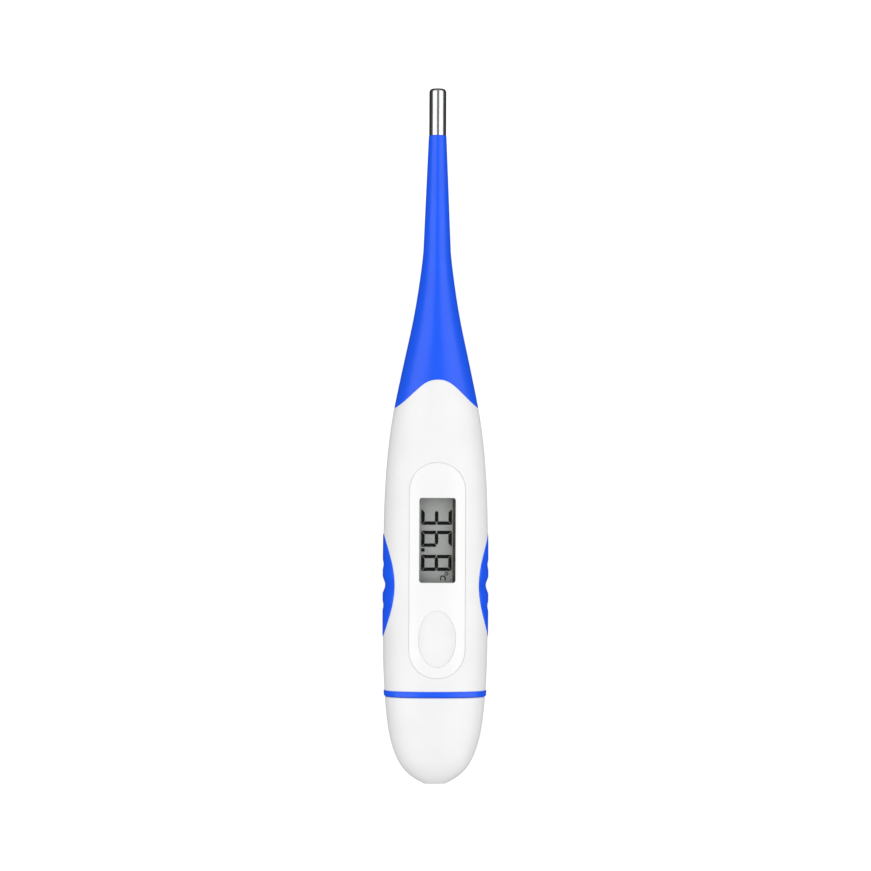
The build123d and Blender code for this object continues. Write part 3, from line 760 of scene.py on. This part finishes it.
def ellipse(radii: PlanPoint, centre_y: float, inset: float = 0.0, steps: int = 96) -> list[PlanPoint]:
    """Points round an ellipse in plan, counter-clockwise, inset evenly."""
    turns = [math.tau * k / steps for k in range(steps)]
    return [((radii[0] - inset) * math.cos(t), centre_y + (radii[1] - inset) * math.sin(t)) for t in turns]


def round_ring(y: float, radius: float, steps: int = 96) -> Row:
    """Points round a circle across the long axis."""
    turns = [math.tau * k / steps for k in range(steps)]
    return [(radius * math.cos(t), y, BODY.axis_height + radius * math.sin(t)) for t in turns]


def at_height(outline: Iterable[PlanPoint], z: float) -> Row:
    """Lifts plan points to one height."""
    return [(x, y, z) for x, y in outline]


def prism(name: str, outline: Sequence[PlanPoint], low: float, high: float) -> bpy.types.Object:
    """Makes an upright prism, for cutting with.

    Args:
        name: the name of the piece.
        outline: its points in plan.
        low: the height of its bottom.
        high: the height of its top.

    Returns:
        The closed prism.
    """
    build = MeshBuild(name)
    build.grid([at_height(outline, low), at_height(outline, high)], wrap=True)
    build.cap(at_height(outline, low))
    build.cap(at_height(outline, high))
    return build.piece()


# ------------------------------------------------------------------------------------ sub-assemblies
@dataclass
class Display:
    """The clear window over the liquid crystal cell, and the openings that it needs."""

    width: float = 7.2
    length: float = 16.8
    corner: float = 0.5
    centre_y: float = -20.7
    top: float = 11.85
    flange_top: float = 10.0
    flange_thickness: float = 0.4
    flange_lip: float = 0.7
    edge: float = 0.12
    fit: float = 0.03

    def ring(self, grow: float, z: float) -> Row:
        """Returns the window's outline, grown outwards, at one height."""
        return at_height(rounded_rectangle(self.width, self.length, self.corner, self.centre_y, grow), z)

    def opening(self) -> bpy.types.Object:
        """Returns the solid that the window's opening is cut with."""
        outline = rounded_rectangle(self.width, self.length, self.corner, self.centre_y, self.fit)
        return prism("window_opening", outline, self.flange_top - 1, ABOVE)

    def build(self) -> None:
        """Makes the window with its soft top edge and its hidden flange."""
        low, lip = self.flange_top - self.flange_thickness, self.flange_lip
        rows = [self.ring(lip, low), self.ring(lip, self.flange_top), self.ring(0, self.flange_top)]
        rows += [self.ring(-away, self.top - sunk) for away, sunk in edge_steps(self.edge)]
        build = MeshBuild("display_window_clear")
        build.grid(rows, wrap=True)
        build.cap(rows[0])
        build.cap(rows[-1])
        settle(build.piece(), "clear_window", ["display_window"], "handle")


@dataclass
class PowerButton:
    """The large oval button with its dome, its flange and the post that presses the switch."""

    radii: PlanPoint = (3.72, 5.65)
    centre_y: float = -40.3
    gap: float = 0.02
    rim_grow: float = 0.1
    dome: float = 0.8
    dome_fullness: float = 0.9
    crisp_deg: float = 50.0
    flange_top: float = 10.1
    flange_thickness: float = 0.5
    flange_lip: float = 0.6
    post_radius: float = 1.5
    post_low: float = 9.15
    rings: int = 22

    def opening(self) -> bpy.types.Object:
        """Returns the solid that the button's opening is cut with."""
        outline = ellipse(self.radii, self.centre_y, -self.gap)
        return prism("button_opening", outline, self.flange_top - 1, ABOVE)

    def build(self) -> None:
        """Makes the button as one solid of rings."""
        wide = ellipse(self.radii, self.centre_y, -self.flange_lip)
        post = ellipse((self.post_radius, self.post_radius), self.centre_y)
        low = self.flange_top - self.flange_thickness
        side = ellipse(self.radii, self.centre_y)
        rows = [
            at_height(post, self.post_low),
            at_height(post, low),
            at_height(wide, low),
            at_height(wide, self.flange_top),
            at_height(side, self.flange_top),
        ]
        for k in range(self.rings):
            share = math.cos(math.pi / 2 * k / self.rings)
            rise = self.dome * (1 - share**2) ** self.dome_fullness
            plan = ellipse((self.radii[0] * share, self.radii[1] * share), self.centre_y)
            rows.append([(x, y, BODY.top(x, y, self.rim_grow) + rise) for x, y in plan])
        build = MeshBuild("power_button_dome")
        build.grid(rows, wrap=True)
        build.cap(rows[0])
        build.cap(rows[-1])
        settle(build.piece(self.crisp_deg), "button_rubber", ["power_button"], "button")


@dataclass
class Panel:
    """The thin raised panel round the window and the button."""

    width: float = 11.3
    length: float = 43.0
    centre_y: float = -26.7
    proud: PlanPoint = (0.05, 0.2)
    depth: float = 0.75
    fit: float = 0.02
    edge: float = 0.2
    rings: int = 18

    def raised(self, y: float) -> float:
        """Returns how proud the panel stands at y: almost flush in front, and more towards the rear."""
        share = 0.5 - (y - self.centre_y) / self.length
        return self.proud[0] + (self.proud[1] - self.proud[0]) * min(1.0, max(0.0, share))

    def insets(self) -> list[float]:
        """Returns distances from the outline to the middle line, fine at the edge."""
        return [away for away, _ in edge_steps(self.edge)] + spaced(self.edge, self.width / 2, self.rings)[1:]

    def seat(self) -> bpy.types.Object:
        """Makes what the panel's seat is cut with.

        Returns:
            The closed solid.
        """
        insets = spaced(0, self.width / 2, self.rings)
        plans = [obround(self.width, self.length, self.centre_y, inset) for inset in insets]
        bottom = [[(x, y, BODY.top(x, y, -self.depth)) for x, y in plan] for plan in plans]
        build = MeshBuild("panel_seat")
        build.grid([at_height(plans[0], ABOVE), bottom[0]], wrap=True)
        build.grid(bottom, wrap=True)
        build.grid([at_height(plan, ABOVE) for plan in plans], wrap=True)
        return build.piece()

    def build(self, display: Display, button: PowerButton) -> None:
        """Makes the panel and cuts its two openings.

        Args:
            display: gives the window's opening.
            button: gives the button's opening.
        """
        sinks = dict(edge_steps(self.edge))
        width, length = self.width - 2 * self.fit, self.length - 2 * self.fit
        plans = [
            (inset, obround(width, length, self.centre_y, min(inset, width / 2))) for inset in self.insets()
        ]
        top = [
            [(x, y, BODY.top(x, y, self.raised(y)) - sinks.get(inset, 0.0)) for x, y in plan]
            for inset, plan in plans
        ]
        bottom = [[(x, y, BODY.top(x, y, self.fit - self.depth)) for x, y in plan] for _, plan in plans]
        build = MeshBuild("front_panel_raised")
        build.grid(top, wrap=True)
        build.grid([top[0], bottom[0]], wrap=True)
        build.grid(bottom, wrap=True)
        piece = carve(build.piece(), [display.opening(), button.opening()])
        settle(piece, "white_panel", ["front_panel"], "handle")


@dataclass
class SideGrips:
    """The two soft grips, with three scallops each, and the pockets that they sit in."""

    centre_y: float = -29.8
    radii: PlanPoint = (10.3, 4.3)
    proud: float = 0.1
    depth: float = 1.0
    fit: float = 0.02
    edge: float = 0.14
    scallops: tuple[Point, ...] = ((-4.1, 1.5, 0.17), (0.0, 2.4, 0.5), (4.1, 1.5, 0.17))
    steps: int = 120
    rings: int = 30

    def sunk(self, y: float) -> float:
        """Measures the scallops: a round-bottomed dip at each place.

        Args:
            y: the place along the length.

        Returns:
            How deep they are there.
        """
        total = 0.0
        for place, width, depth in self.scallops:
            away = abs(y - self.centre_y - place) / (width / 2)
            if away < 1.5:
                total += depth * max(0.0, math.cos(math.pi / 3 * away)) ** 1.5
        return total

    def side_points(self, share: float, side: int, out: Callable[[float, float], float]) -> Row:
        """One ring of points round the grip's middle.

        Args:
            share: the ring's share of the grip's radii.
            side: 1 for the right side, -1 for the left.
            out: the distance from the middle plane, from y and z.

        Returns:
            The ring.
        """
        ring = []
        for k in range(self.steps):
            turn = math.tau * k / self.steps
            y = self.centre_y + self.radii[0] * share * math.cos(turn)
            z = BODY.axis_height + self.radii[1] * share * math.sin(turn)
            ring.append((side * out(y, z), y, z))
        return ring

    def pocket(self, side: int) -> bpy.types.Object:
        """Makes what one grip's pocket is cut with.

        Args:
            side: 1 for the right side, -1 for the left.

        Returns:
            The closed solid.
        """
        shares = [1 - k / self.rings for k in range(self.rings + 1)]
        bed = [self.side_points(share, side, lambda y, z: BODY.side(y, z, -self.depth)) for share in shares]
        far = self.side_points(1.0, side, lambda y, z: BEYOND)
        build = MeshBuild("grip_pocket")
        build.grid(bed, wrap=True)
        build.grid([bed[0], far], wrap=True)
        build.cap(far)
        return build.piece()

    def build(self) -> None:
        """Makes both grips."""
        shares = [(1 - away / self.radii[1], sink) for away, sink in edge_steps(self.edge)]
        shares += [(share, 0.0) for share in reversed(spaced(0, shares[-1][0], self.rings)[:-1])]
        for side, name in ((-1, "left"), (1, "right")):
            face = [
                self.side_points(
                    share, side, lambda y, z, s=sink: BODY.side(y, z, self.proud - s) - self.sunk(y)
                )
                for share, sink in shares
            ]
            bed = [
                self.side_points(share, side, lambda y, z: BODY.side(y, z, self.fit - self.depth))
                for share, _ in shares
            ]
            build = MeshBuild(f"side_grip_{name}_scalloped")
            build.grid(face, wrap=True)
            build.grid([face[0], bed[0]], wrap=True)
            build.grid(bed, wrap=True)
            settle(build.piece(), "blue_rubber", [f"side_grip_{name}"], "handle")


@dataclass
class Shells:
    """The white front and back of the handle, which part along the middle plane."""

    rear_y: float = SHELL_END_Y
    wall: float = 1.5
    edge: float = 0.12
    columns: int = 110
    rows: int = 150

    def turns(self, y: float, sign: int) -> list[tuple[float, float]]:
        """Angles round half a section with the sinking of its rounded parting edges.

        Args:
            y: the place along the length.
            sign: 1 for the front half, -1 for the back half.

        Returns:
            Angle and sinking for each column.
        """
        steps = edge_steps(self.edge)
        near = [(BODY.parting_turn(y, away), sink) for away, sink in steps]
        last = near[-1][0]
        middle = [(turn, 0.0) for turn in spaced(last, math.pi - last, self.columns)[1:-1]]
        far = [(math.pi - turn, sink) for turn, sink in reversed(near)]
        return [(sign * turn, sink) for turn, sink in near + middle + far]

    def half(self, name: str, sign: int) -> bpy.types.Object:
        """Makes one shell without its openings.

        Args:
            name: the name of the piece.
            sign: 1 for the front, -1 for the back.

        Returns:
            The closed shell.
        """
        curve = SEAM.curve()
        ends = [SEAM.place(BODY, turn, curve) for turn, _ in self.turns(0.0, sign)]
        steps = edge_steps(self.edge)
        # each row: its share of the length, the way back from there, and how far its edge has sunk
        rows = [(0.0, away, sink) for away, sink in steps]
        rows += [(share, 0.0, 0.0) for share in spaced(0.0, 1.0, self.rows)[1:-1]]
        rows += [(1.0, -away, sink) for away, sink in reversed(steps)]
        outer, inner = [], []
        for share, away, sink in rows:
            line, line_in = [], []
            for column, end in enumerate(ends):
                y = self.rear_y + (end - self.rear_y) * share
                turn, side_sink = self.turns(y + away, sign)[column]
                line.append(BODY.point(y + away, turn, -max(sink, side_sink)))
                line_in.append(BODY.point(y, turn, -self.wall))
            outer.append(line)
            inner.append(line_in)
        build = MeshBuild(name)
        build.grid(outer)
        build.grid(inner)
        build.grid([outer[0], inner[0]])
        build.grid([outer[-1], inner[-1]])
        for column in (0, -1):
            build.grid([[row[column] for row in outer], [row[column] for row in inner]])
        return build.piece()

    def build(self, panel: Panel, display: Display, button: PowerButton, grips: SideGrips) -> None:
        """Makes both shells and cuts what sits in them.

        Args:
            panel: gives the seat of the raised panel.
            display: gives the window's opening.
            button: gives the button's opening.
            grips: give the pockets at the sides.
        """
        front = self.half("front_shell_moulded", 1)
        carve(front, [panel.seat(), display.opening(), button.opening(), grips.pocket(-1), grips.pocket(1)])
        settle(front, "white_shell", ["front_shell"], "handle")
        back = self.half("back_shell_moulded", -1)
        carve(back, [grips.pocket(-1), grips.pocket(1)])
        settle(back, "white_shell", ["back_shell"], "handle")


@dataclass
class SensorTip:
    """The steel cap: a thin closed tube with a rounded end and a neck inside the rubber."""

    radius: float = 1.7
    wall: float = 0.25
    end_y: float = 69.5
    steel_y: float = 60.1
    neck_y: float = 56.6
    neck_radius: float = 1.25
    corner: float = 0.75
    dome: float = 0.05
    corner_steps: int = 12
    end_steps: int = 6
    side_steps: int = 16

    def nose(self, radius: float, end: float, corner: float) -> list[Row]:
        """Rings round the rounded corner and over the almost flat end.

        Args:
            radius: the tube's radius.
            end: the end's place along the length.
            corner: the corner's radius.

        Returns:
            The rings, forwards.
        """
        rows = []
        for k in range(self.corner_steps + 1):
            turn = math.pi / 2 * k / self.corner_steps
            y = end - self.dome - corner * (1 - math.sin(turn))
            rows.append(round_ring(y, radius - corner * (1 - math.cos(turn))))
        flat = radius - corner
        for k in range(1, self.end_steps):
            share = 1 - k / self.end_steps
            rows.append(round_ring(end - self.dome * share**2, flat * share))
        return rows

    def build(self) -> None:
        """Makes the cap."""
        thin = self.wall
        corner_y = self.end_y - self.corner - self.dome
        outer = [round_ring(self.neck_y, self.neck_radius), round_ring(self.steel_y, self.neck_radius)]
        outer += [round_ring(y, self.radius) for y in spaced(self.steel_y, corner_y, self.side_steps)[:-1]]
        outer += self.nose(self.radius, self.end_y, self.corner)
        inner = [
            round_ring(self.neck_y, self.neck_radius - thin),
            round_ring(self.steel_y + thin, self.neck_radius - thin),
            round_ring(self.steel_y + thin, self.radius - thin),
        ]
        inner += self.nose(self.radius - thin, self.end_y - thin, self.corner - thin)
        build = MeshBuild("sensor_cap_polished")
        build.grid(outer, wrap=True)
        build.grid(inner, wrap=True)
        build.grid([outer[0], inner[0]], wrap=True)
        build.cap(outer[-1])
        build.cap(inner[-1])
        settle(build.piece(), "steel", ["sensor_cap"], "tip")


@dataclass(frozen=True)
class Skin:
    """One stretch of the soft shaft: its place, its nodes, the CAD bodies on either side of its joint and the
    two places between which the shaft bends.
    """

    name: str
    low: float
    high: float
    near: str
    far: str
    bends: PlanPoint
    nodes: tuple[str, ...]


@dataclass
class SoftShaft:
    """The blue rubber from the seam to the steel tip: one skin for each bend, which meet where none bends."""

    wall: float = 1.5
    edge: float = 0.12
    core_end: float = 26.0
    bore: float = 0.75
    columns: int = 96
    root_outer_rows: int = 90
    root_inner_rows: int = 20
    bore_rows: int = 12
    rows_per_mm: int = 4
    lip: float = 0.2
    root: Skin = Skin("shaft_skin_root", 0.0, 39.5, "handle", "shaft_1", (33.5, 39.5), ("shaft_flare",))
    middles: tuple[Skin, ...] = (
        Skin("shaft_skin_lower", 39.5, 44.0, "shaft_1", "shaft_2", (39.5, 44.0), ("shaft_segment_1",)),
        Skin("shaft_skin_middle", 44.0, 50.0, "shaft_2", "shaft_3", (44.0, 50.0), ("shaft_segment_2",)),
    )
    last: Skin = Skin(
        "shaft_skin_tip", 50.0, 60.1, "shaft_3", "tip", (50.0, 54.5), ("shaft_segment_3", "shaft_tip_sleeve")
    )

    def ring(self, y: float, grow: float = 0.0) -> Row:
        """One ring of the outer surface."""
        return [BODY.point(y, math.tau * k / self.columns, grow) for k in range(self.columns)]

    def rows_along(self, skin: Skin) -> int:
        """Returns how many steps the outside of a skin takes along its length."""
        return max(self.bore_rows, round((skin.high - skin.low) * self.rows_per_mm))

    def root_rows(self, end: float) -> tuple[list[Row], list[Row]]:
        """Rows of the skin that starts at the arched seam.

        Args:
            end: where the skin ends.

        Returns:
            The outer rows and the inner rows, both from the seam forwards.
        """
        curve = SEAM.curve()
        turns = [math.tau * k / self.columns for k in range(self.columns)]
        starts = [SEAM.place(BODY, turn, curve) for turn in turns]
        outer = [
            [BODY.point(start + away, turn, -sink) for start, turn in zip(starts, turns)]
            for away, sink in edge_steps(self.edge)
        ]
        for k in range(1, self.root_outer_rows + 1):
            share = k / self.root_outer_rows
            outer.append(
                [
                    BODY.point(start + self.edge + (end - start - self.edge) * share, turn)
                    for start, turn in zip(starts, turns)
                ]
            )
        inner = [
            [
                BODY.point(start + (self.core_end - start) * k / self.root_inner_rows, turn, -self.wall)
                for start, turn in zip(starts, turns)
            ]
            for k in range(self.root_inner_rows + 1)
        ]
        inner += [round_ring(self.core_end, self.bore), round_ring(end, self.bore)]
        return outer, inner

    def middle_rows(self, skin: Skin) -> tuple[list[Row], list[Row]]:
        """Returns the outer rows and the inner rows of a skin between two others."""
        outer = [self.ring(y) for y in spaced(skin.low, skin.high, self.rows_along(skin))]
        return outer, [round_ring(y, self.bore) for y in spaced(skin.low, skin.high, self.bore_rows)]

    def last_rows(self, skin: Skin, tip: SensorTip) -> tuple[list[Row], list[Row]]:
        """Rows of the skin that ends in a rounded lip round the steel tip's neck.

        Args:
            skin: the last skin.
            tip: gives the neck.

        Returns:
            The outer rows and the inner rows, both forwards.
        """
        end = skin.high
        outer = [self.ring(y) for y in spaced(skin.low, end - self.lip, self.rows_along(skin))]
        outer += [self.ring(end - away, -sink) for away, sink in reversed(edge_steps(self.lip)[:-1])]
        inner = [round_ring(y, self.bore) for y in spaced(skin.low, tip.neck_y, self.bore_rows)]
        inner += [round_ring(y, tip.neck_radius) for y in (tip.neck_y, end)]
        return outer, inner

    def bend(self, skin: Skin, outer: list[Row], inner: list[Row]) -> None:
        """Makes one skin; it stays straight and rides on no body.

        Args:
            skin: its name, its nodes, its two bodies and the stretch that bends.
            outer: rows of the outside.
            inner: rows of the inside.
        """
        build = MeshBuild(skin.name)
        build.grid(outer, wrap=True)
        build.grid(inner, wrap=True)
        build.grid([outer[0], inner[0]], wrap=True)
        build.grid([outer[-1], inner[-1]], wrap=True)
        piece = settle(build.piece(), "blue_rubber", skin.nodes)
        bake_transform(piece)

    def build(self, tip: SensorTip) -> None:
        """Makes the four skins.

        Args:
            tip: gives the neck that the last skin grips.
        """
        self.bend(self.root, *self.root_rows(self.root.high))
        for skin in self.middles:
            self.bend(skin, *self.middle_rows(skin))
        self.bend(self.last, *self.last_rows(self.last, tip))


@dataclass
class RearEnd:
    """The blue sealing ring and the white battery cap."""

    shell_end: float = SHELL_END_Y
    ring_rear: float = -51.9
    ring_proud: float = 0.18
    collar_sunk: float = 1.4
    cap_mouth: float = -52.0
    cap_wall: float = 1.3
    tail: float = -69.5
    edge: float = 0.25
    ring_edge: float = 0.14
    tail_edge: float = 0.3
    columns: int = 160
    outer_steps: int = 70
    inner_steps: int = 40

    def ring(self, y: float, grow: float) -> Row:
        """One ring of the body's surface."""
        return [BODY.point(y, math.tau * k / self.columns, grow) for k in range(self.columns)]

    def seal(self) -> None:
        """Makes the sealing ring with its rounded outside."""
        steps = edge_steps(self.ring_edge)
        rows = [self.ring(self.ring_rear + away, self.ring_proud - sink) for away, sink in steps]
        rows += [self.ring(self.shell_end - away, self.ring_proud - sink) for away, sink in reversed(steps)]
        inside = [self.ring(y, -self.collar_sunk) for y in (self.shell_end, self.ring_rear)]
        build = MeshBuild("seal_ring_rounded")
        build.grid([*rows, *inside, rows[0]], wrap=True)
        settle(build.piece(), "blue_rubber", ["seal_ring"], "handle")

    def cap(self) -> None:
        """Makes the battery cap: outside, rounded mouth and hollow."""
        outer = [self.ring(self.cap_mouth - away, -sink) for away, sink in edge_steps(self.edge)]
        length = self.cap_mouth - self.edge - self.tail
        for k in range(1, self.outer_steps):
            turn = math.pi / 2 * k / self.outer_steps
            outer.append(self.ring(self.cap_mouth - self.edge - length * math.sin(turn), 0.0))
        outer += [self.ring(self.tail + away, -sink) for away, sink in reversed(edge_steps(self.tail_edge))]
        depth = self.cap_mouth - (self.tail + self.cap_wall)
        inner = []
        for k in range(self.inner_steps + 1):
            turn = math.pi / 2 * k / self.inner_steps
            inner.append(self.ring(self.cap_mouth - depth * math.sin(turn), -self.cap_wall))
        build = MeshBuild("battery_cap_moulded")
        build.grid(outer, wrap=True)
        build.grid(inner, wrap=True)
        build.grid([outer[0], inner[0]], wrap=True)
        build.cap(outer[-1])
        build.cap(inner[-1])
        settle(build.piece(), "white_shell", ["battery_cap"], "cap")


class CarriedPieces:
    """The CAD nodes whose shape stays as it is: they only take their finishes."""

    def dress(self) -> None:
        """Gives every shown CAD node its slot's finish."""
        for entry in frame["record"]["subparts"]:
            node = frame["nodes"][entry["node"]]
            finish = SLOT_FINISHES[entry["material_slot"]]
            node.data.materials.clear()
            node.data.materials.append(finish.material())
            log.info("%s: finish %s", entry["node"], finish.name)


# ------------------------------------------------------------------------------------ studio
@dataclass
class Studio:
    """A plain pale floor, two long softboxes and a camera that looks almost straight down."""

    distance: float = 700.0
    view_width: float = 174.2
    sight_m: PlanPoint = (0.01, 20.0)
    lean_deg: float = 3.4
    roll_deg: float = 0.28
    target: Point = (-0.14, 0.1, 5.9)
    sensor_mm: float = 36.0
    floor_size: float = 3000.0
    box_distance: float = 520.0
    box_turn_deg: float = 43.0
    box_width: float = 540.0
    box_length: float = 1100.0
    box_power: float = 2.46
    fill: float = 0.3
    floor_seen: str = "d0d0d0"
    floor_bounce: str = "c8c8c8"
    floor_mirrored: str = "404040"
    floor_glow: float = 0.66
    clear_layers: int = 24

    def camera(self) -> None:
        """Places the camera over the display, leaning a little to the left side."""
        data = bpy.data.cameras.new("camera")
        data.sensor_width = self.sensor_mm
        data.lens = self.sensor_mm * self.distance / self.view_width
        data.clip_start, data.clip_end = self.sight_m
        camera = bpy.data.objects.new("camera", data)
        lean = math.radians(self.lean_deg)
        back = Vector((-math.sin(lean), 0, math.cos(lean)))
        place = Vector(self.target) + back * self.distance
        side = Vector((0, 1, 0)).cross(back).normalized()
        up = back.cross(side)
        turned = Matrix((side, up, back)).transposed().to_4x4()
        camera.matrix_world = (
            Matrix.Translation(place * MM) @ turned @ Matrix.Rotation(math.radians(self.roll_deg), 4, "Z")
        )
        bpy.context.scene.collection.objects.link(camera)
        bpy.context.scene.camera = camera

    def floor(self) -> None:
        """Lays the pale floor: white to the camera, with less of it in the bounce and in the gloss."""
        half = self.floor_size / 2
        build = MeshBuild("floor")
        build.cap([(-half, -half, 0), (half, -half, 0), (half, half, 0), (-half, half, 0)])
        floor = build.piece()
        made = bpy.data.materials.new("floor_paper_white")
        made.use_nodes = True
        tree = made.node_tree
        tree.nodes.clear()
        path = add_node(tree, "ShaderNodeLightPath").outputs
        bounced = add_node(
            tree,
            "ShaderNodeMix",
            {"data_type": "RGBA", 6: linear(self.floor_bounce), 7: linear(self.floor_mirrored)},
            {0: path["Is Glossy Ray"]},
        ).outputs[2]
        tone = add_node(
            tree,
            "ShaderNodeMix",
            {"data_type": "RGBA", 7: linear(self.floor_seen)},
            {0: path["Is Camera Ray"], 6: bounced},
        ).outputs[2]
        glow = add_node(
            tree,
            "ShaderNodeMath",
            {"operation": "MULTIPLY", 1: self.floor_glow},
            {0: path["Is Camera Ray"]},
        )
        shader = add_node(
            tree,
            "ShaderNodeBsdfPrincipled",
            {"Roughness": 0.9, "Specular IOR Level": 0.0, "Emission Color": linear("ffffff")},
            {"Base Color": tone, "Emission Strength": glow.outputs[0]},
        )
        add_node(tree, "ShaderNodeOutputMaterial", {}, {"Surface": shader.outputs[0]})
        floor.data.materials.append(made)

    def lights(self) -> None:
        """Hangs the two softboxes, sets the even fill and lets light reach through the display's layers."""
        for side in (-1, 1):
            data = bpy.data.lights.new(f"softbox_{side}", "AREA")
            data.shape = "RECTANGLE"
            data.size, data.size_y = self.box_width * MM, self.box_length * MM
            data.energy = self.box_power
            turn = math.radians(self.box_turn_deg) * side
            place = Vector((math.sin(turn), 0, math.cos(turn))) * self.box_distance
            lamp = bpy.data.objects.new(data.name, data)
            lamp.matrix_world = Matrix.Translation(place * MM) @ Matrix.Rotation(turn, 4, "Y")
            bpy.context.scene.collection.objects.link(lamp)
        world = bpy.data.worlds.new("even_fill")
        world.use_nodes = True
        sky = world.node_tree.nodes["Background"]
        sky.inputs["Color"].default_value = linear("ffffff")
        sky.inputs["Strength"].default_value = self.fill
        bpy.context.scene.world = world
        bpy.context.scene.view_settings.view_transform = "Standard"
        bpy.context.scene.cycles.transparent_max_bounces = self.clear_layers

    def build(self) -> None:
        """Makes the camera, the floor and the lights."""
        self.camera()
        self.floor()
        self.lights()


def main() -> None:
    """Builds everything in order."""
    logging.basicConfig(level=logging.INFO, format="%(name)s: %(message)s")
    Studio().build()
    CarriedPieces().dress()
    display, button, panel, grips = Display(), PowerButton(), Panel(), SideGrips()
    Shells().build(panel, display, button, grips)
    panel.build(display, button)
    display.build()
    button.build()
    grips.build()
    tip = SensorTip()
    SoftShaft().build(tip)
    tip.build()
    rear = RearEnd()
    rear.seal()
    rear.cap()


if __name__ == "__main__":
    main()
